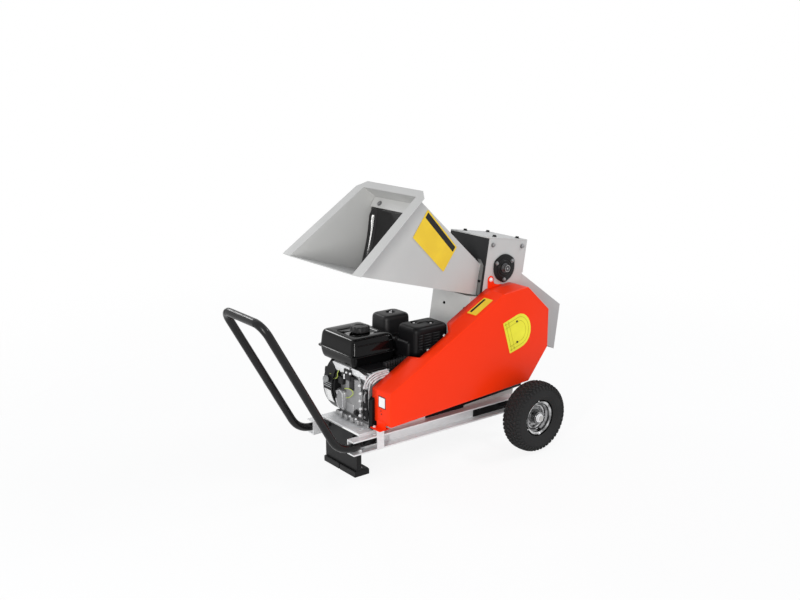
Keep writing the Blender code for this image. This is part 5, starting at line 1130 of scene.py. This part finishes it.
def makeGrip():
    # a short bar with round ends across a waisted stem
    x, y, z = grip["middle"]
    line = [(x - bow, y, z + along) for along, bow in ((-0.018, 0.001), (-0.009, 0.003), (0, 0.0035), (0.009, 0.003),
                                                       (0.018, 0.001))]
    bar = sweep(curve(line, 6), [grip["end"]] + [grip["radius"]] * 23 + [grip["end"]])
    stem = lathe([(0, 0), (0.0062, 0), (0.0048, 0.006), (0.0046, 0.014), (0, 0.014)], 24, (x - 0.004, y, z),
                 (1, 0, 0))
    makePiece({"name": "gripBar", "slot": "black_plastic", "body": "recoil_grip", "instead": ["recoil_grip"],
               "angle": 50}, bar, stem)


makeGrip()
print("stage: engine")


# rubber curtain
curtain = {"top": (-0.4208, 0.8822), "lean": 0.0447, "drop": 0.208, "half": 0.1255, "bow": 0.0055, "sheet": 0.0035,
           "fold": 0.017, "foldAt": 0.89, "foldWidth": 0.088, "turn": 0.004, "lift": 0.003}


def makeCurtain():
    # u runs across and v down: the sheet leans forward, bows back in its middle, turns forward at both sides
    # and has one upright fold: depth * exp(-((u - place) / width) ^ 2)
    u, v = np.meshgrid(np.linspace(-1, 1, 61), np.linspace(0, 1, 31), indexing="ij")
    side = np.abs(u) ** 5
    fold = curtain["fold"] * np.exp(-((u - curtain["foldAt"] + 0.05 * v) / curtain["foldWidth"]) ** 2)
    fold = fold * np.clip(v * 9, 0, 1) * (1 - 0.25 * v)
    x = curtain["top"][0] - curtain["lean"] * v + curtain["bow"] * np.sin(math.pi * v)
    x = x - curtain["turn"] * v * side - fold
    y = u * (curtain["half"] + 0.004 * v - 0.003 * v ** 3)
    z = curtain["top"][1] - curtain["drop"] * v + curtain["lift"] * side * v
    sheet = makePiece({"name": "curtain_sheet", "finish": "curtainRubber", "slot": "black_rubber", "body": "curtain",
                       "instead": ["curtain"], "angle": 60},
                      (np.stack([x, y, z], axis=2).reshape(-1, 3), gridFaces(61, 31)))
    thicken(sheet, curtain["sheet"], 0)


makeCurtain()
print("stage: curtain")


# flanged bearings
bearing = {"roller": (0.0009, 0.648), "rotor": (-0.0374, 0.409), "seat": 0.1043, "under": 0.1046, "over": 0.1086}


def makeBearings():
    # a flange with three lobes, radius + wave * max(cos 3 angle, 0) ^ 2, under a turned body and a dark collar
    angle = np.arange(96) * math.tau / 96
    reach = 0.0505 + 0.0036 * np.maximum(np.cos(3 * (angle - math.radians(30))), 0) ** 2
    for word in ("roller", "rotor"):
        x, z = bearing[word]
        for name, side in (("near", -1), ("far", 1)):
            outline = np.stack([x + reach * np.cos(angle), z + reach * np.sin(angle)], axis=1)
            lowY, highY = sorted((side * bearing["under"], side * bearing["over"]))
            seat = (x, side * bearing["seat"], z)
            body = lathe([(0.011, 0.003), (0.0365, 0.003), (0.036, 0.0052), (0.034, 0.006), (0.0325, 0.0052),
                          (0.029, 0.0052), (0.0285, 0.0062), (0.027, 0.007), (0.024, 0.0074), (0.0225, 0.007),
                          (0.0215, 0.0064), (0.011, 0.0064)], 64, seat, (0, side, 0))
            makePiece({"name": word + "Flange_" + name, "slot": "black_paint", "angle": 40,
                       "instead": [word + "_bearing_" + name]}, prism(outline, lowY, highY, "y", 0.001), body)
            ring = lathe([(0.0105, 0.006), (0.0175, 0.006), (0.0175, 0.0085), (0.0165, 0.0093), (0.012, 0.0093),
                          (0.0105, 0.0088)], 48, seat, (0, side, 0))
            makePiece({"name": word + "Collar_" + name, "slot": "cast_iron", "angle": 40}, ring)


def makeShaftCaps():
    # a dark turned ring on each shaft end, turning with its shaft
    for name, node, body, side, word in (("rollerCap_near", "feed_roller", "feed_roller", -1, "roller"),
                                         ("rollerCap_far", "feed_roller", "feed_roller", 1, "roller"),
                                         ("rotorCap_far", "drum", "rotor", 1, "rotor")):
        x, z = bearing[word]
        makePiece({"name": name, "slot": "cast_iron", "body": body, "angle": 40},
                  lathe([(0.003, -0.001), (0.0108, -0.001), (0.0108, 0.0004), (0.0096, 0.0009), (0.0036, 0.0009),
                         (0.003, 0.0004)], 32, (x, (high(node) if side > 0 else low(node))[1], z), (0, side, 0)))


makeShaftCaps()
makeBearings()
print("stage: bearings")


# plates and labels, all of them bare
outFront = np.array((-2.5, -2.7, 1.44))  # a point well out to the near front, which every plate faces


def decal(corners, thickness, radius, lift):
    # a flat outline of three or more corners with round corners, carried a little way along its own normal
    corners = np.asarray(corners, float)
    centre = corners.mean(axis=0)
    across = corners[1] - corners[0]
    across /= np.linalg.norm(across)
    normal = np.cross(across, corners[2] - corners[0])
    normal /= np.linalg.norm(normal)
    if normal @ (outFront - centre) < 0:
        normal = -normal
    up = np.cross(normal, across)
    flat = np.stack([(corners - centre) @ across, (corners - centre) @ up], axis=1)
    flat = roundOff(flat, radius, 6)
    base = centre + flat[:, :1] * across + flat[:, 1:] * up
    return skin(np.array([base + normal * lift, base + normal * (lift + thickness)]))


def between(corners, left, right, bottom, top):
    # a patch of a four-cornered plate by shares of its sides: first corner to second, then first to last
    a, b, c, d = np.asarray(corners, float)
    return [a * (1 - u) * (1 - v) + b * u * (1 - v) + c * u * v + d * (1 - u) * v
            for u, v in ((left, bottom), (right, bottom), (right, top), (left, top))]


def makeLabels():
    # two labels with a band each, the cover's round-ended plate with two lines and two rivets, and a framed plate
    wide = [(-0.3859, -0.1402, 0.9034), (-0.2293, -0.1081, 0.7525), (-0.2953, -0.1153, 0.6745),
            (-0.455, -0.1473, 0.8175)]
    small = [(-0.206, -0.142, 0.5185), (-0.1238, -0.141, 0.5605), (-0.1238, -0.1865, 0.5606),
             (-0.206, -0.1898, 0.5185)]
    white = [(-0.592, y, z) for y, z in ((-0.14, 0.296), (-0.179, 0.296), (-0.179, 0.255), (-0.14, 0.255))]
    face = [(-0.0906, 0.474), (-0.021, 0.4963), (-0.0056, 0.498), (0.01, 0.494), (0.0235, 0.4855),
            (0.0345, 0.4735), (0.0425, 0.459), (0.047, 0.44), (0.0465, 0.42), (0.0405, 0.401),
            (0.029, 0.386), (0.0135, 0.3755), (-0.0055, 0.3688), (-0.0535, 0.3565)]
    face = spread(roundOff(face, 0.0022, 4), 160)

    def upright(outline, lift):
        return [(x, -cover["face"] - lift, z) for x, z in outline]

    def panel(outline, lift, thickness=0.0004):
        return skin(np.array([upright(outline, lift), upright(outline, lift + thickness)]))

    def border(draw, width, lift):
        # a thin closed line inside the outline, as two outlines joined along both rims
        outer, inner = inset(face, draw), inset(face, draw + width)
        rings = np.array([upright(outer, lift), upright(outer, lift + 0.0002), upright(inner, lift + 0.0002),
                          upright(inner, lift)])
        return rings.reshape(-1, 3), gridFaces(4, len(face), closeRows=True, closeColumns=True)

    for name, corners, radius, lift, bandRadius, band in (
            ("hopperLabel", wide, 0.004, 0.001, 0.0015, (0.035, 0.965, 0.05, 0.24)),
            ("coverLabel", small, 0.002, 0.0008, 0.001, (0.1, 0.92, 0.12, 0.34))):
        makePiece({"name": name, "slot": "wire_yellow", "finish": "labelYellow"},
                  decal(corners, 0.0005, radius, lift))
        makePiece({"name": name + "Band", "slot": "black_plastic", "finish": "labelBlack"},
                  decal(between(corners, *band), 0.0003, bandRadius, lift + 0.0006))
    makePiece({"name": "facePlate", "slot": "wire_yellow", "finish": "labelLemon"}, panel(face, 0.0003, 0.0006))
    makePiece({"name": "facePlateLines", "slot": "wire_yellow", "finish": "labelOlive"},
              border(0.0105, 0.0014, 0.001), border(0.025, 0.0012, 0.001))
    rivets = [lathe([(0, 0), (0.0042, 0), (0.0036, 0.0016), (0.0018, 0.0024), (0, 0.0024)], 24,
                    (x, -cover["face"] - 0.0009, z), (0, -1, 0)) for x, z in ((-0.0235, 0.4714), (-0.0194, 0.394))]
    makePiece({"name": "facePlateRivets", "slot": "black_plastic"}, *rivets)
    makePiece({"name": "frontPlateRim", "slot": "black_plastic", "finish": "labelBlack"},
              decal(white, 0.0003, 0.0025, 0.0004))
    makePiece({"name": "frontPlate", "slot": "grey_plastic", "finish": "labelWhite"},
              decal(between(white, 0.07, 0.93, 0.07, 0.93), 0.0003, 0.002, 0.0009))


makeLabels()
print("stage: labels")


# floor and light
ground = {"size": 24.0, "fadeFrom": 0.9, "fadeTo": 3.2, "glow": 0.88}
surround = {"tint": (0.93, 0.95, 1.0, 1.0), "strength": 0.56}
lamps = {
    "keyLight": {"spot": (-3.1, -2.2, 1.2), "size": (0.28, 2.0), "watts": 84.0, "tint": (1.0, 0.99, 0.97)},
    "fillLight": {"spot": (2.0, -1.0, 2.6), "size": (0.9, 0.3), "watts": 26.0, "tint": (0.97, 0.98, 1.0)},
    "rimLight": {"spot": (-0.7, 2.7, 2.3), "size": (1.0, 0.3), "watts": 18.0, "tint": (1.0, 1.0, 1.0)},
}
lampAim = (-0.1, 0, 0.4)


def makeFloor():
    # near white to the rays that are seen, a plain pale floor to all other light, and clear further out
    bpy.ops.mesh.primitive_plane_add(size=ground["size"], location=(0, 0, 0))
    floor = bpy.context.active_object
    floor.name = "floor"
    made = Surface("paleFloor", Base_Color=(0.92, 0.92, 0.92), Roughness=0.9, Specular_IOR_Level=0.05)
    spot = made.node("VectorMath", {"operation": "LENGTH"}, {0: made.place()}, "Value")
    white = made.node("Emission", inputs={"Color": pureWhite, "Strength": 1.0})
    paler = made.node("MixShader", inputs={0: made.seenRays() * ground["glow"],
                                           1: Wire(made, made.shader.outputs[0]), 2: white})
    made.end("Material Output", made.node("MixShader", inputs={0: spot.step(ground["fadeFrom"], ground["fadeTo"]),
                                                               1: paler, 2: made.node("BsdfTransparent")}))
    floor.data.materials.append(made.material)


def makeLights():
    # a white surround to the rays that are seen, a dimmer bluish one to all other light, and three oblong lamps
    world = bpy.data.worlds.new("studio")
    scene.world = world
    world.use_nodes = True
    graph = Graph(world.node_tree)
    dim = graph.tree.nodes["Background"]
    dim.inputs["Color"].default_value = surround["tint"]
    dim.inputs["Strength"].default_value = surround["strength"]
    white = graph.node("Background", inputs={"Color": pureWhite, "Strength": 1.0})
    graph.end("World Output", graph.node("MixShader", inputs={0: graph.seenRays(), 1: Wire(graph, dim.outputs[0]),
                                                              2: white}))
    for name, facts in lamps.items():
        data = bpy.data.lights.new(name, "AREA")
        data.shape = "RECTANGLE"
        data.size, data.size_y = facts["size"]
        data.energy = facts["watts"]
        data.color = facts["tint"]
        lamp = bpy.data.objects.new(name, data)
        scene.collection.objects.link(lamp)
        lamp.location = facts["spot"]
        lamp.rotation_euler = (Vector(lampAim) - lamp.location).to_track_quat("-Z", "Y").to_euler()


view = {"spot": (-2.4963, -2.7355, 1.4405), "ahead": (0.5907, 0.7686, -0.2456), "lens": 45.69, "sensor": 36.0}


def makeCamera():
    data = bpy.data.cameras.new("photoCamera")
    data.lens, data.sensor_width = view["lens"], view["sensor"]
    camera = bpy.data.objects.new("photoCamera", data)
    scene.collection.objects.link(camera)
    camera.location = (view["spot"][0] + shift, *view["spot"][1:])
    camera.rotation_euler = Vector(view["ahead"]).to_track_quat("-Z", "Y").to_euler()
    scene.camera = camera


makeFloor()
makeLights()
makeCamera()
scene.view_settings.view_transform = "Standard"
print("stage: floor, light and camera")
